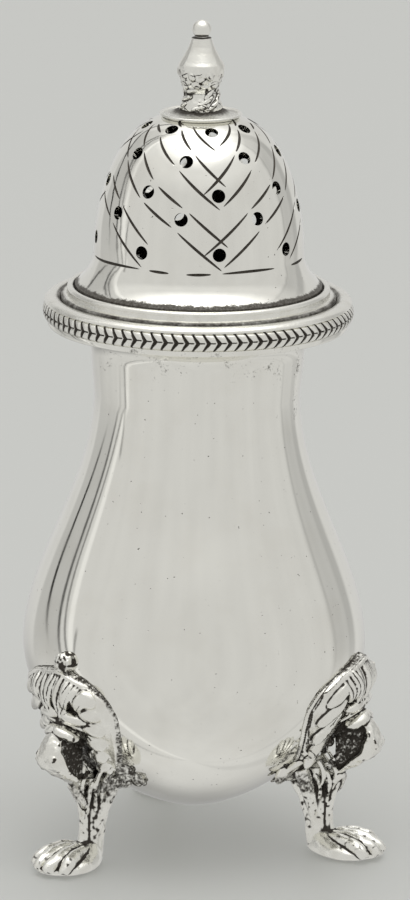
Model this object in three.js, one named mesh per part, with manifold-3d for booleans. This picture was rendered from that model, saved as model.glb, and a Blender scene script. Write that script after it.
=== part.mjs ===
// A footed silver caster: a pear-shaped pot on three lion-mask feet, and a pierced lid that lifts off.
// Sizes are in millimetres, +Z is up and the front is -Y, between the two front feet.
// The origin lies on the table, at the middle of the footprint's bounding box.
import * as THREE from 'three';
import { mergeVertices } from 'three/addons/utils/BufferGeometryUtils.js';
import Module from 'manifold-3d';

const wasm = await Module();
wasm.setup();

// Pot: raised from sheet, turned over at the mouth into a flat lip
const bellyRadius = 20.56;
const bellyHeight = 25.15;
const bottomHeight = 4.65;
const waistRadius = 12.27;
const lipRadius = 17.9;
const lipHeight = 64.75;
const lipThickness = 0.7;
const lipOverhang = 1.4;
const neckLength = 8.9;
const throatDepth = 3.9;
const throatSwell = 0.43;
const throatWall = 1.05;
const mouthRoll = 1.3;
const potWall = 0.6;
const bowlPowerShares = { depth: 1.8, radius: 1.6 };
const bowlDepthShares = [1, 0.985, 0.94, 0.84, 0.68, 0.47, 0.23, 0];
const shoulderPowerShare = 0.93;
const shoulderSteps = 9;

const waistHeight = lipHeight - neckLength;
const throatHeight = lipHeight - throatDepth;
const throatRadius = waistRadius + throatSwell;
const boreRadius = throatRadius - throatWall;

// Border: the chased ring that is soldered on the lip, round the lid's seat
const borderSeatWidth = 1.45;
const borderOverhang = 0.62;
const borderBulge = 0.37;
const borderBandHeight = 2.1;
const borderCrownInset = 0.85;
const borderCrownRise = 2.8;
const borderInnerDrop = 0.35;

const borderInnerRadius = lipRadius - borderSeatWidth;
const borderRadius = lipRadius + borderOverhang;

// Lid rim: a flat seat and a stepped moulding with a raised bead round the dome
const lidSideClearance = 0.1;
const lidSeatGap = 0.03;
const lidPlateThickness = 1.0;
const rimSeamRise = 2.9;
const rimBeadRise = 4.1;
const rimBeadInset = 1.15;
const rimGrooveInset = 0.3;
const rimGrooveDepth = 0.3;
const rimLedgeWidth = 1.2;

const lidRadius = borderInnerRadius - lidSideClearance;
const seatHeight = lipHeight + lidSeatGap;
const plateTopHeight = seatHeight + lidPlateThickness;
const rimBeadRadius = lidRadius - rimBeadInset;
const rimGrooveRadius = rimBeadRadius - rimGrooveInset;
const rimLedgeHeight = lipHeight + rimBeadRise - rimGrooveDepth;

// Bezel: the sleeve under the lid that plugs the pot's mouth
const bezelDepth = 5.5;
const bezelWall = 0.6;
const bezelClearance = 0.1;
const bezelFlangeWidth = 1.25;
const bezelFlangeThickness = 0.6;
const boreRunout = 0.6;

const bezelRadius = boreRadius - bezelClearance;
const bezelBottomHeight = lipHeight - bezelDepth;

// Dome: the pierced cap of the lid, flared at its foot
const domeFootGap = 0.22;
const domeFootThickness = 0.4;
const domeFlareWidth = 2.22;
const domeFlareHeight = 4.1;
const domeHeight = 16.5;
const domeSeatRadius = 2.2;
const domeWall = 0.6;
const domePowerShares = { height: 1.8, radius: 3, flare: 2.2 };
const domeRiseShares = [0, 0.2, 0.4, 0.58, 0.74, 0.86, 0.94, 0.98];
const flareSteps = 3;
const slopeStepShare = 0.1;

const domeFootRadius = rimGrooveRadius - domeFootGap;
const domeRadius = domeFootRadius - domeFlareWidth;
const domeFootHeight = rimLedgeHeight + domeFootThickness;
const domeSpringHeight = domeFootHeight + domeFlareHeight;
const domeCrownHeight = domeSpringHeight + domeHeight;
const domeTopHeight = domeHeightAt(domeSeatRadius);

// Piercing: five rows of round holes, turned by half a step from row to row
const holeRadius = 0.725;
const holeSides = 6;
const holesPerRow = 8;
const holeTopRowDrop = 1.2;
const holeBottomRowRise = 1.8;
const holeRowShares = [0, 0.21, 0.485, 0.7, 1];

// Finial and the dished plate under it
const finialHeight = 10.7;
const finialBallRadius = 1.13;
const finialBallTurns = [-28, 0, 28, 52, 72];
const finialShoulderRadius = 2.72;
const finialPlateOverhang = 2.15;
const finialPlateThickness = 0.45;
const finialPlateRim = 0.22;
const finialPlateDish = 0.1;
const finialPlateDroop = 0.33;
const finialPlateLift = 0.05;
const tenonRadius = 0.85;
const tenonClearance = 0.1;
const tenonProud = 0.15;

const finialPlateRadius = finialShoulderRadius + finialPlateOverhang;
const finialFootHeight = domeTopHeight + finialPlateThickness;

// Feet: cast paws with a lion's mask on the knee, soldered round the belly
const footAngles = { foot_left: -60, foot_right: 60, foot_back: 180 };
const solderSeam = 0.3;
const maskHeight = 15;
const maskWidestShare = 0.707;
const maskWideAngle = 27.5;
const maskNarrowAngle = 20.5;
const maskHalfWidth = 9.2;
const maskRim = 0.95;
const maskRelief = 1.6;
const maskPinchShare = 0.35;
const muzzleProud = 2.79;
const muzzleWidth = 4.4;
const muzzleBridgeShare = 0.5;
const muzzleLipShare = 0.7;
const legOverlap = 1.5;
const legWidth = 5.6;
const legRoot = 2.7;
const heelShare = 0.6;
const pawProud = 4.14;
const pawLength = 9.9;
const pawWidth = 6.7;
const pawHeight = 4.1;
const pawLiftShare = 0.36;
const pawSlopeShare = 0.5;
const toeLength = 3.6;
const toeWidth = 2.0;
const toeHeight = 2.3;
const toeAngles = [-39, -13, 13, 39];
const knobRadius = 1.4;
const knobRise = 0.95;
const knobSide = 0.9;
const tabRootOverlap = 0.6;
const tabWideSide = 7.4;
const tabNarrowSide = 5.4;
const tabWidth = 1.9;
const tabThickness = 1.5;
const tabRise = 1.1;
const tabTiltAngle = 28;

const maskTopHeight = bellyHeight;
const maskBottomHeight = maskTopHeight - maskHeight;
const maskWidestHeight = maskBottomHeight + maskWidestShare * maskHeight;
const muzzleReach = bellyRadius + muzzleProud;
const footReach = bellyRadius + pawProud;
const legHeight = maskBottomHeight + legOverlap;

// How finely the turned and cast surfaces are faceted
const latheSides = 36;
const rollSteps = 4;
const mouldingSteps = 3;
const finialSides = 18;
const shieldSides = 16;
const shieldRings = 8;
const legSides = 10;
const pawSides = 12;
const pawRings = 7;
const lumpSides = 8;
const lumpRings = 5;
const cutOverrun = 2.0;
const weldTolerance = 1e-3;

// The axis stands off the origin, because the back foot reaches further out than the belly does
const axisSetBack = (footReach - bellyRadius) / 2;

const radians = THREE.MathUtils.degToRad;

// A closed surface with shared corners, no slivers, and its faces pointing out
function closedSurface(geometry) {
  const bare = geometry.clone();
  bare.deleteAttribute('normal');
  bare.deleteAttribute('uv');
  const merged = mergeVertices(bare, weldTolerance);
  const position = merged.getAttribute('position');
  const index = merged.getIndex().array;
  const a = new THREE.Vector3();
  const b = new THREE.Vector3();
  const c = new THREE.Vector3();
  const triangles = [];
  let volume = 0;
  for (let i = 0; i < index.length; i += 3) {
    const [p, q, r] = [index[i], index[i + 1], index[i + 2]];
    if (p === q || q === r || r === p) continue;
    triangles.push(p, q, r);
    a.fromBufferAttribute(position, p);
    b.fromBufferAttribute(position, q);
    c.fromBufferAttribute(position, r);
    volume += a.dot(b.cross(c));
  }
  if (volume < 0) triangles.reverse();
  merged.setIndex(triangles);
  return merged;
}

function solidOf(geometry) {
  const surface = closedSurface(geometry);
  return new wasm.Manifold(new wasm.Mesh({
    numProp: 3,
    vertProperties: new Float32Array(surface.getAttribute('position').array),
    triVerts: new Uint32Array(surface.getIndex().array),
  }));
}

function geometryOf(solid) {
  const mesh = solid.getMesh();
  const geometry = new THREE.BufferGeometry();
  geometry.setAttribute('position', new THREE.BufferAttribute(new Float32Array(mesh.vertProperties), 3));
  geometry.setIndex(new THREE.BufferAttribute(new Uint32Array(mesh.triVerts), 1));
  return geometry;
}

// Profiles are lists of [radius, height], turned about the pot's axis
function turned(profile, sides = latheSides) {
  const points = profile.map(([radius, height]) => new THREE.Vector2(radius, height));
  return new THREE.LatheGeometry(points, sides).rotateX(Math.PI / 2);
}

function turnedLoop(profile, sides = latheSides) {
  return turned([...profile, profile[0]], sides);
}

// A quarter of an ellipse between two corners, leaving the first one along the axis
function quarter(from, to, steps) {
  const points = [];
  for (let i = 1; i < steps; i += 1) {
    const angle = (i / steps) * (Math.PI / 2);
    points.push([
      from[0] + (to[0] - from[0]) * (1 - Math.cos(angle)),
      from[1] + (to[1] - from[1]) * Math.sin(angle),
    ]);
  }
  return [from, ...points, to];
}

// Moves a profile sideways along its own normals: inwards is positive
function offsetProfile(profile, distance) {
  return profile.map(([radius, height], i) => {
    const [r0, h0] = profile[Math.max(i - 1, 0)];
    const [r1, h1] = profile[Math.min(i + 1, profile.length - 1)];
    const length = Math.hypot(r1 - r0, h1 - h0);
    if (radius === 0) return [0, height + distance];
    return [radius - distance * (h1 - h0) / length, height + distance * (r1 - r0) / length];
  });
}

// The unseen inner faces need only half the points, and keep both ends
function everySecond(profile) {
  return profile.filter((_, i) => i % 2 === 0 || i === profile.length - 1);
}

function potOuterRadius(height) {
  if (height < bellyHeight) {
    const depth = (bellyHeight - height) / (bellyHeight - bottomHeight);
    const left = Math.max(1 - depth ** bowlPowerShares.depth, 0);
    return bellyRadius * left ** (1 / bowlPowerShares.radius);
  }
  const rise = Math.min((height - bellyHeight) / (waistHeight - bellyHeight), 1);
  const swing = (1 + Math.cos(Math.PI * rise ** shoulderPowerShare)) / 2;
  return waistRadius + (bellyRadius - waistRadius) * swing;
}

function potProfile() {
  const bowl = bowlDepthShares.map((share) => {
    const height = bellyHeight - share * (bellyHeight - bottomHeight);
    return [potOuterRadius(height), height];
  });
  const shoulder = [];
  for (let i = 1; i <= shoulderSteps; i += 1) {
    const height = bellyHeight + (i / shoulderSteps) * (waistHeight - bellyHeight);
    shoulder.push([potOuterRadius(height), height]);
  }
  return [...bowl, ...shoulder];
}

function bodyShell() {
  const belly = potProfile();
  const lipUnderside = lipHeight - lipThickness;
  const outside = [
    ...belly,
    ...quarter([throatRadius, throatHeight], [lipRadius - lipOverhang, lipUnderside], rollSteps),
    [lipRadius, lipUnderside],
    [lipRadius, lipHeight],
  ];
  const mouth = quarter(
    [boreRadius, lipHeight - mouthRoll],
    [boreRadius + mouthRoll, lipHeight],
    mouldingSteps,
  ).reverse();
  const inside = [
    ...mouth,
    [boreRadius, bezelBottomHeight - boreRunout],
    ...everySecond(offsetProfile(belly, potWall)).reverse(),
  ];
  return turned([...outside, ...inside]);
}

function mouthBorderRing() {
  const crownRadius = borderInnerRadius + borderCrownInset;
  const edgeRadius = borderRadius - borderBulge;
  const bandMiddle = lipHeight + borderBandHeight / 2;
  const bandTop = lipHeight + borderBandHeight;
  const crown = lipHeight + borderCrownRise;
  const lowerBulge = quarter([borderRadius, bandMiddle], [edgeRadius, lipHeight], mouldingSteps).reverse();
  const upperBulge = quarter([borderRadius, bandMiddle], [edgeRadius, bandTop], mouldingSteps).slice(1);
  const shoulder = quarter([edgeRadius, bandTop], [crownRadius, crown], mouldingSteps).slice(1);
  return turnedLoop([
    [borderInnerRadius, lipHeight],
    ...lowerBulge,
    ...upperBulge,
    ...shoulder,
    [borderInnerRadius, crown - borderInnerDrop],
  ]);
}

function lidRimMoulding() {
  const innerRadius = rimGrooveRadius - rimLedgeWidth;
  return turnedLoop([
    [boreRadius, seatHeight],
    [lidRadius, seatHeight],
    ...quarter([lidRadius, lipHeight + rimSeamRise], [rimBeadRadius, lipHeight + rimBeadRise], rollSteps),
    [rimGrooveRadius, rimLedgeHeight],
    [innerRadius, rimLedgeHeight],
    [innerRadius, plateTopHeight],
    [boreRadius, plateTopHeight],
  ]);
}

function lidBezel() {
  const innerRadius = bezelRadius - bezelWall;
  const flangeRadius = bezelRadius + bezelFlangeWidth;
  return turnedLoop([
    [innerRadius, bezelBottomHeight],
    [bezelRadius, bezelBottomHeight],
    [bezelRadius, plateTopHeight],
    [flangeRadius, plateTopHeight],
    [flangeRadius, plateTopHeight + bezelFlangeThickness],
    [innerRadius, plateTopHeight + bezelFlangeThickness],
  ]);
}

function domeOuterRadius(height) {
  if (height < domeSpringHeight) {
    const fall = (domeSpringHeight - height) / (domeSpringHeight - domeFootHeight);
    return domeRadius + (domeFootRadius - domeRadius) * fall ** domePowerShares.flare;
  }
  const rise = Math.min((height - domeSpringHeight) / (domeCrownHeight - domeSpringHeight), 1);
  return domeRadius * (1 - rise ** domePowerShares.height) ** (1 / domePowerShares.radius);
}

function domeHeightAt(radius) {
  const rise = (1 - (radius / domeRadius) ** domePowerShares.radius) ** (1 / domePowerShares.height);
  return domeSpringHeight + rise * (domeCrownHeight - domeSpringHeight);
}

function domeSlopeAngle(height) {
  const step = (domeCrownHeight - height) * slopeStepShare;
  const change = domeOuterRadius(height + step) - domeOuterRadius(height - step);
  return Math.atan2(-change, step + step);
}

function lidDome() {
  const outside = [];
  for (let i = 0; i < flareSteps; i += 1) {
    const height = domeFootHeight + (i / flareSteps) * (domeSpringHeight - domeFootHeight);
    outside.push([domeOuterRadius(height), height]);
  }
  for (const share of domeRiseShares) {
    const height = domeSpringHeight + share * (domeCrownHeight - domeSpringHeight);
    outside.push([domeOuterRadius(height), height]);
  }
  const bore = tenonRadius + tenonClearance;
  const inside = offsetProfile(outside, domeWall);
  const underside = domeTopHeight - domeWall;
  const shell = solidOf(turnedLoop([
    [domeFootRadius, rimLedgeHeight],
    ...outside,
    [domeSeatRadius, domeTopHeight],
    [bore, domeTopHeight],
    [bore, underside],
    ...everySecond(inside.slice(1)).reverse(),
    [domeFootRadius - domeWall, rimLedgeHeight],
  ]));
  const topRow = domeCrownHeight - holeTopRowDrop;
  const bottomRow = domeSpringHeight + holeBottomRowRise;
  const cutters = [];
  holeRowShares.forEach((share, row) => {
    const height = topRow + share * (bottomRow - topRow);
    const radius = domeOuterRadius(height);
    const slope = domeSlopeAngle(height);
    for (let i = 0; i < holesPerRow; i += 1) {
      const turn = ((i + (row % 2) / 2) / holesPerRow) * 2 * Math.PI;
      const drill = new THREE.CylinderGeometry(holeRadius, holeRadius, 2 * cutOverrun, holeSides);
      drill.rotateX(-slope);
      drill.translate(0, -radius, height);
      drill.rotateZ(turn);
      cutters.push(solidOf(drill));
    }
  });
  return geometryOf(shell.subtract(wasm.Manifold.union(cutters)));
}

function finialPlate() {
  const bore = tenonRadius + tenonClearance;
  const rimInner = finialPlateRadius - finialPlateRim;
  const middle = (domeSeatRadius + rimInner) / 2;
  const edgeTop = finialFootHeight - finialPlateDroop;
  return turnedLoop([
    [bore, domeTopHeight],
    [domeSeatRadius, domeTopHeight],
    [middle, domeHeightAt(middle) + finialPlateLift],
    [rimInner, domeHeightAt(rimInner) + finialPlateLift],
    [finialPlateRadius, domeHeightAt(rimInner) + finialPlateRim],
    [finialPlateRadius, edgeTop - finialPlateRim / 2],
    [rimInner, edgeTop],
    [rimInner - finialPlateRim, edgeTop - finialPlateDish],
    [finialShoulderRadius + finialPlateRim, finialFootHeight - finialPlateRim],
    [finialShoulderRadius, finialFootHeight],
    [bore, finialFootHeight],
  ], finialSides);
}

function finial() {
  const ballHeight = finialFootHeight + finialHeight - finialBallRadius;
  const rise = ballHeight - finialFootHeight;
  const bodyShares = [
    [0.9, 0],
    [0.93, 0.025],
    [0.8, 0.09],
    [0.75, 0.155],
    [0.8, 0.215],
    [0.96, 0.29],
    [1, 0.38],
    [1, 0.5],
    [0.985, 0.55],
    [0.72, 0.71],
    [0.43, 0.925],
    [0.36, 0.93],
  ];
  const body = bodyShares.map(([radiusShare, heightShare]) => [
    radiusShare * finialShoulderRadius,
    finialFootHeight + heightShare * rise,
  ]);
  const ball = [];
  for (const turn of finialBallTurns) {
    ball.push([
      finialBallRadius * Math.cos(radians(turn)),
      ballHeight + finialBallRadius * Math.sin(radians(turn)),
    ]);
  }
  const tenonEnd = domeTopHeight - domeWall - tenonProud;
  return turned([
    [0, tenonEnd],
    [tenonRadius, tenonEnd],
    [tenonRadius, finialFootHeight],
    ...body,
    ...ball,
    [0, finialFootHeight + finialHeight],
  ], finialSides);
}

// A foot is made on the +X side of the axis: X is the reach, Y the side, Z the height
function lump(at, half, turn = [0, 0, 0]) {
  const ball = new THREE.SphereGeometry(1, lumpSides, lumpRings);
  ball.scale(half[0], half[1], half[2]);
  ball.rotateX(radians(turn[0]));
  ball.rotateY(radians(turn[1]));
  ball.rotateZ(radians(turn[2]));
  ball.translate(at[0], at[1], at[2]);
  return solidOf(ball);
}

// The mask's shield: a lens laid round the belly, widest above its middle and pinched below
function maskShield() {
  const shield = new THREE.SphereGeometry(1, shieldSides, shieldRings).rotateX(Math.PI / 2);
  const position = shield.getAttribute('position');
  for (let i = 0; i < position.count; i += 1) {
    const out = position.getX(i);
    const side = position.getY(i);
    const up = position.getZ(i);
    const span = up > 0 ? maskTopHeight - maskWidestHeight : maskWidestHeight - maskBottomHeight;
    const height = maskWidestHeight + up * span;
    const pinch = up < 0 ? 1 - maskPinchShare * up * up : 1;
    const halfAngle = side < 0 ? maskWideAngle : maskNarrowAngle;
    const angle = radians(halfAngle * side * pinch);
    const reach = potOuterRadius(height) + maskRim + (out > 0 ? maskRelief : maskRim + cutOverrun) * out;
    position.setXYZ(i, reach * Math.cos(angle), reach * Math.sin(angle), height);
  }
  return solidOf(shield);
}

// The muzzle: a flat-ended wedge that stands out below the brow, wider at the lips than at the bridge
function muzzle() {
  const outlineShares = [
    [0.8, 0.531],
    [0.94, 0.48],
    [1, 0.254],
    [0.985, 0.22],
    [0.9, 0.12],
    [0.76, 0.069],
  ];
  const outline = new THREE.Shape(outlineShares.map(([reachShare, heightShare]) => new THREE.Vector2(
    reachShare * muzzleReach,
    maskBottomHeight + heightShare * maskHeight,
  )));
  const wedge = new THREE.ExtrudeGeometry(outline, { depth: 1, bevelEnabled: false });
  wedge.translate(0, 0, -1 / 2);
  wedge.rotateX(Math.PI / 2);
  const heights = outline.getPoints().map((point) => point.y);
  const top = Math.max(...heights);
  const bottom = Math.min(...heights);
  const position = wedge.getAttribute('position');
  for (let i = 0; i < position.count; i += 1) {
    const fall = (top - position.getZ(i)) / (top - bottom);
    const widening = Math.min(fall / muzzleLipShare, 1);
    const width = muzzleWidth * THREE.MathUtils.lerp(muzzleBridgeShare, 1, widening);
    position.setY(i, position.getY(i) * width);
  }
  return solidOf(wedge);
}

// The leg: oval sections from the knee down into the paw
function leg() {
  const sectionShares = [
    [0.05, 0, 0.77, 0.32],
    [0.27, 0.08, 0.744, 0.3],
    [0.38, 0.17, 0.704, 0.2],
    [0.47, 0.27, 0.704, 0.19],
    [0.57, 0.43, 0.72, 0.22],
    [0.68, 0.61, 0.736, 0.27],
    [0.77, 0.72, 0.756, 0.35],
    [0.86, 0.87, 0.776, 0.43],
    [1, 1, 0.82, 0.52],
  ];
  const heelReach = heelShare * footReach;
  const rootReach = potOuterRadius(legHeight) - legRoot;
  const last = sectionShares.length - 1;
  const column = new THREE.CylinderGeometry(1, 1, 1, legSides, last).rotateX(Math.PI / 2);
  const position = column.getAttribute('position');
  for (let i = 0; i < position.count; i += 1) {
    const section = Math.round((position.getZ(i) + 0.5) * last);
    const [upShare, backShare, frontShare, halfShare] = sectionShares[section];
    const back = THREE.MathUtils.lerp(heelReach, rootReach, backShare);
    const front = frontShare * footReach;
    const middle = (front + back) / 2;
    const half = (front - back) / 2;
    position.setXYZ(
      i,
      middle + position.getX(i) * half,
      position.getY(i) * halfShare * legWidth,
      upShare * legHeight,
    );
  }
  return solidOf(column);
}

// The paw: an oval pad, high at the instep and low at the toes
function paw(lift) {
  const pad = new THREE.SphereGeometry(1, pawSides, pawRings).rotateX(Math.PI / 2);
  const position = pad.getAttribute('position');
  for (let i = 0; i < position.count; i += 1) {
    const along = position.getX(i);
    const up = position.getZ(i) * (1 - pawSlopeShare * Math.max(along, 0));
    position.setXYZ(
      i,
      footReach - pawLength / 2 + along * pawLength / 2,
      position.getY(i) * pawWidth / 2,
      lift + up * (pawHeight - lift),
    );
  }
  return solidOf(pad);
}

// The lumps of the face, as shares of the muzzle's reach, the mask's half width and the mask's height
const faceLumpShares = [
  { at: [0.78, 0, 0.33], half: [0.17, 0.5, 0.42] },
  { at: [0.9, 0, 0.765], half: [0.1, 0.5, 0.184] },
  { at: [0.93, 0, 0.606], half: [0.07, 0.4, 0.109] },
  { at: [0.785, 0, -0.056], half: [0.065, 0.2, 0.126] },
];

// Locks of the mane down one side of the face, mirrored to the other side, with their tilt in degrees
const maneLockShares = [
  { at: [0.88, 0.5, 0.715], half: [0.065, 0.14, 0.151], tilt: 24 },
  { at: [0.84, 0.56, 0.43], half: [0.065, 0.14, 0.168], tilt: -6 },
  { at: [0.77, 0.4, 0.195], half: [0.075, 0.14, 0.168], tilt: -26 },
];

function footCasting(hasKnob) {
  const scaled = ([reach, side, up]) => [reach * muzzleReach, side * maskHalfWidth, up * maskHeight];
  const placed = ([reach, side, up]) => scaled([reach, side, up + maskBottomHeight / maskHeight]);
  const pieces = [maskShield(), muzzle(), leg()];
  for (const { at, half } of faceLumpShares) pieces.push(lump(placed(at), scaled(half)));
  for (const { at, half, tilt } of maneLockShares) {
    for (const hand of [1, -1]) {
      const [reach, side, up] = placed(at);
      pieces.push(lump([reach, hand * side, up], scaled(half), [-hand * tilt, 0, 0]));
    }
  }
  const pawLift = pawLiftShare * pawHeight;
  pieces.push(paw(pawLift));
  const spread = (pawWidth - toeWidth) / 2 / Math.sin(radians(Math.max(...toeAngles)));
  const base = footReach - toeLength / 2 - spread;
  for (const toeAngle of toeAngles) {
    pieces.push(lump(
      [base + spread * Math.cos(radians(toeAngle)), spread * Math.sin(radians(toeAngle)), toeHeight / 2],
      [toeLength / 2, toeWidth / 2, toeHeight / 2],
      [0, 0, toeAngle / 2],
    ));
  }
  const tabHeight = maskBottomHeight + tabRise;
  const tabReach = potOuterRadius(tabHeight) + solderSeam + tabThickness / 4;
  for (const tip of [-tabWideSide, tabNarrowSide]) {
    const hand = Math.sign(tip);
    const side = (tip - hand * tabRootOverlap) / 2;
    const halfLength = (Math.abs(tip) + tabRootOverlap) / 2 / Math.cos(radians(tabTiltAngle));
    pieces.push(lump(
      [Math.sqrt(tabReach ** 2 - side ** 2), side, tabHeight],
      [tabThickness / 2, halfLength, tabWidth / 2],
      [-hand * tabTiltAngle, 0, THREE.MathUtils.radToDeg(Math.asin(side / tabReach))],
    ));
  }
  if (hasKnob) {
    const knobReach = Math.sqrt((bellyRadius + maskRim / 2) ** 2 - knobSide ** 2);
    pieces.push(lump([knobReach, knobSide, maskTopHeight + knobRise], [knobRadius, knobRadius, knobRadius]));
  }
  const clearProfile = offsetProfile(potProfile(), -solderSeam);
  const topHeight = clearProfile[clearProfile.length - 1][1];
  const clearance = solidOf(turned([...clearProfile, [0, topHeight]]));
  const below = new THREE.BoxGeometry(2 * footReach, 2 * footReach, footReach);
  below.translate(footReach, 0, -footReach / 2);
  return wasm.Manifold.union(pieces).subtract(clearance).subtract(solidOf(below));
}

const polishedSilver = { color: 0xdfddd6, roughness: 0.18, metalness: 1 };
const castSilver = { color: 0xcfccc3, roughness: 0.3, metalness: 1 };

function mesh(name, geometry, finish) {
  const piece = new THREE.Mesh(closedSurface(geometry), new THREE.MeshStandardMaterial(finish));
  piece.name = name;
  return piece;
}

const shaker = new THREE.Group();
shaker.position.y = -axisSetBack;
shaker.add(
  mesh('body_shell', bodyShell(), polishedSilver),
  mesh('mouth_border_ring', mouthBorderRing(), castSilver),
  mesh('lid_rim_moulding', lidRimMoulding(), polishedSilver),
  mesh('lid_bezel', lidBezel(), polishedSilver),
  mesh('lid_dome', lidDome(), polishedSilver),
  mesh('finial_plate', finialPlate(), castSilver),
  mesh('finial', finial(), castSilver),
);
for (const [name, angle] of Object.entries(footAngles)) {
  const foot = mesh(name, geometryOf(footCasting(name === 'foot_left')), castSilver);
  foot.rotation.z = radians(angle - 90);
  shaker.add(foot);
}

export default shaker;
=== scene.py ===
"""A footed silver salt shaker: a pear-shaped pot on three lion-mask feet, under a pierced and engraved lid.

Lengths are in metres, +Z is up and the front is -Y. Every finished piece has its place in its mesh.
The feet and the finial's leaves are modelled in mm, which rod, shaped and lump turn into metres.
"""

import math

import bpy
import numpy as np
from bpy.props import FloatProperty, FloatVectorProperty, IntProperty, PointerProperty
from mathutils import Matrix, Vector, noise


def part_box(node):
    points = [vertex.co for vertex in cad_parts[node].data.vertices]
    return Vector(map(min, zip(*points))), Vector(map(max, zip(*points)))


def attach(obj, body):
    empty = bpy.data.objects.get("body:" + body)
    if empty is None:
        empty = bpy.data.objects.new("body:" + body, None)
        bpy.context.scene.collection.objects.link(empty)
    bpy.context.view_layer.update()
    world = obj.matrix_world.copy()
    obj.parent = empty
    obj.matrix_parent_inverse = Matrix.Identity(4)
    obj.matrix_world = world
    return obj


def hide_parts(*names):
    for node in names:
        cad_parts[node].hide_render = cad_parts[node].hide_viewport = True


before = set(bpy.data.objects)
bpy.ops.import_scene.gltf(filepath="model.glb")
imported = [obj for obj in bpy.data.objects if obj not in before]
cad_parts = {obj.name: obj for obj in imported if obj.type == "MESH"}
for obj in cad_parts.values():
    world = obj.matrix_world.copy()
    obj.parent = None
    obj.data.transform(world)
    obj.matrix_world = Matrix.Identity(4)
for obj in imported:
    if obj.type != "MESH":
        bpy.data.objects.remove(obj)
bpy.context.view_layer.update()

bl_info = {
    "name": "Footed silver salt shaker",
    "version": (1, 0, 0),
    "blender": (4, 5, 0),
    "location": "View3D > Sidebar > Shaker",
    "description": "Models a pear-shaped silver salt shaker with a pierced lid and lion-mask feet",
    "category": "Add Mesh",
}

MM = 0.001
BOXES = {node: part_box(node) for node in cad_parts}


def radius_of(node):
    """Half of the larger width of a turned piece."""
    low, high = BOXES[node]
    return max(high.x - low.x, high.y - low.y) / 2


def bottom_of(node):
    return BOXES[node][0].z


def top_of(node):
    return BOXES[node][1].z


def extent_of(node):
    """The radius, the bottom and the top of a turned piece."""
    return radius_of(node), bottom_of(node), top_of(node)


POT_LOW, POT_HIGH = BOXES["body_shell"]
AXIS = Vector((0, (POT_LOW.y + POT_HIGH.y) / 2, 0))
UP = Vector((0, 0, 1))


# Sizes and colours that a user would change


def length_setting(name, description, default):
    return FloatProperty(name=name, description=description, default=default, unit="LENGTH", precision=5)


def angle_setting(name, description, degrees):
    return FloatProperty(name=name, description=description, default=math.radians(degrees), subtype="ANGLE")


def colour_setting(name, description, default):
    return FloatVectorProperty(name=name, description=description, default=default, subtype="COLOR")


class ShakerSizes(bpy.types.PropertyGroup):
    """The sizes of the pot and its lid."""

    belly_radius: length_setting("Belly radius", "The pot's widest radius", radius_of("body_shell"))
    belly_height: length_setting(
        "Belly height", "Height of the widest place, level with the masks' tops", top_of("foot_back"))
    bottom_height: length_setting(
        "Bottom height", "Height of the pot's bottom above the table", bottom_of("body_shell"))
    lip_height: length_setting("Lip height", "Height of the pot's flat lip", top_of("body_shell"))
    waist_radius: length_setting("Waist radius", "The pot's narrowest radius, under the lip", 12.27 * MM)
    lip_radius: length_setting("Lip radius", "Outer radius of the pot's flat lip", 17.9 * MM)
    bore_radius: length_setting("Bore radius", "Inner radius of the pot's mouth", 11.65 * MM)
    wall: length_setting("Wall", "Thickness of the raised silver sheet", 0.6 * MM)
    dome_radius: length_setting("Dome radius", "Radius of the lid's dome above its flared foot", 12.46 * MM)
    hole_radius: length_setting("Hole radius", "Radius of the pierced holes", 0.8 * MM)
    chevrons: IntProperty(
        name="Chevrons", description="How many chased chevrons run round the mouth ring", default=92, min=12)
    turning_steps: IntProperty(
        name="Turning steps", description="How many flats a turned piece has round its axis",
        default=144, min=24)


class ShakerFinish(bpy.types.PropertyGroup):
    """The colours and the sheen of the silver."""

    silver: colour_setting("Silver", "Colour of the clean polished silver", (0.9, 0.893, 0.838))
    worn_silver: colour_setting(
        "Worn silver", "Colour of the silver where a film of tarnish is left", (0.8, 0.78, 0.715))
    # The oxide colour also paints the shade in the cast pieces' recesses.
    oxide: colour_setting("Oxide", "Colour of the blackened recesses", (0.045, 0.038, 0.03))
    # The grime colour also paints the shade under the pot's lip.
    grime_and_shade: colour_setting("Grime", "Colour of the dirt that is left in the corners", (0.055, 0.047, 0.036))
    polish_roughness: FloatProperty(
        name="Polish roughness", description="Roughness of the polished pot and lid", default=0.045)
    cast_roughness: FloatProperty(
        name="Cast roughness", description="Roughness of the cast feet and finial", default=0.2)


class ShakerStage(bpy.types.PropertyGroup):
    """The camera and the lights."""

    camera_distance: length_setting(
        "Camera distance", "Level distance from the camera to the pot's axis", 0.7)
    camera_height: length_setting("Camera height", "Height of the camera above the table", 0.22255)
    camera_azimuth: angle_setting(
        "Camera azimuth", "Turn of the camera round the pot, from the front", -12)
    camera_pitch: angle_setting("Camera pitch", "How far the camera looks down", 13.957)
    camera_roll: angle_setting("Camera roll", "Turn of the camera about its own line of sight", 0.75)
    camera_aim: angle_setting(
        "Camera aim", "How far the camera looks past the pot's axis, to the right", 0.0835)
    lens: FloatProperty(
        name="Lens", description="Focal length on a 36 mm sensor", default=241.5, unit="CAMERA")
    floor_colour: colour_setting("Floor colour", "Colour of the pale floor", (0.56, 0.567, 0.55))
    tent_strength: FloatProperty(
        name="Tent strength", description="Brightness of the white cloth round the table", default=0.66)
    lamp_power: FloatProperty(
        name="Lamp power", description="Power of the soft lamp overhead", default=0.4, unit="POWER")


# Modelling by hand


def start_clean():
    """Goes to object mode with nothing selected, the CAD nodes included."""
    if bpy.context.mode != "OBJECT":
        bpy.ops.object.mode_set(mode="OBJECT")
    bpy.ops.object.select_all(action="DESELECT")


def choose(*pieces):
    """Selects these pieces alone, and makes the first one the active one."""
    start_clean()
    for piece in pieces:
        piece.select_set(True)
    bpy.context.view_layer.objects.active = pieces[0]


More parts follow.
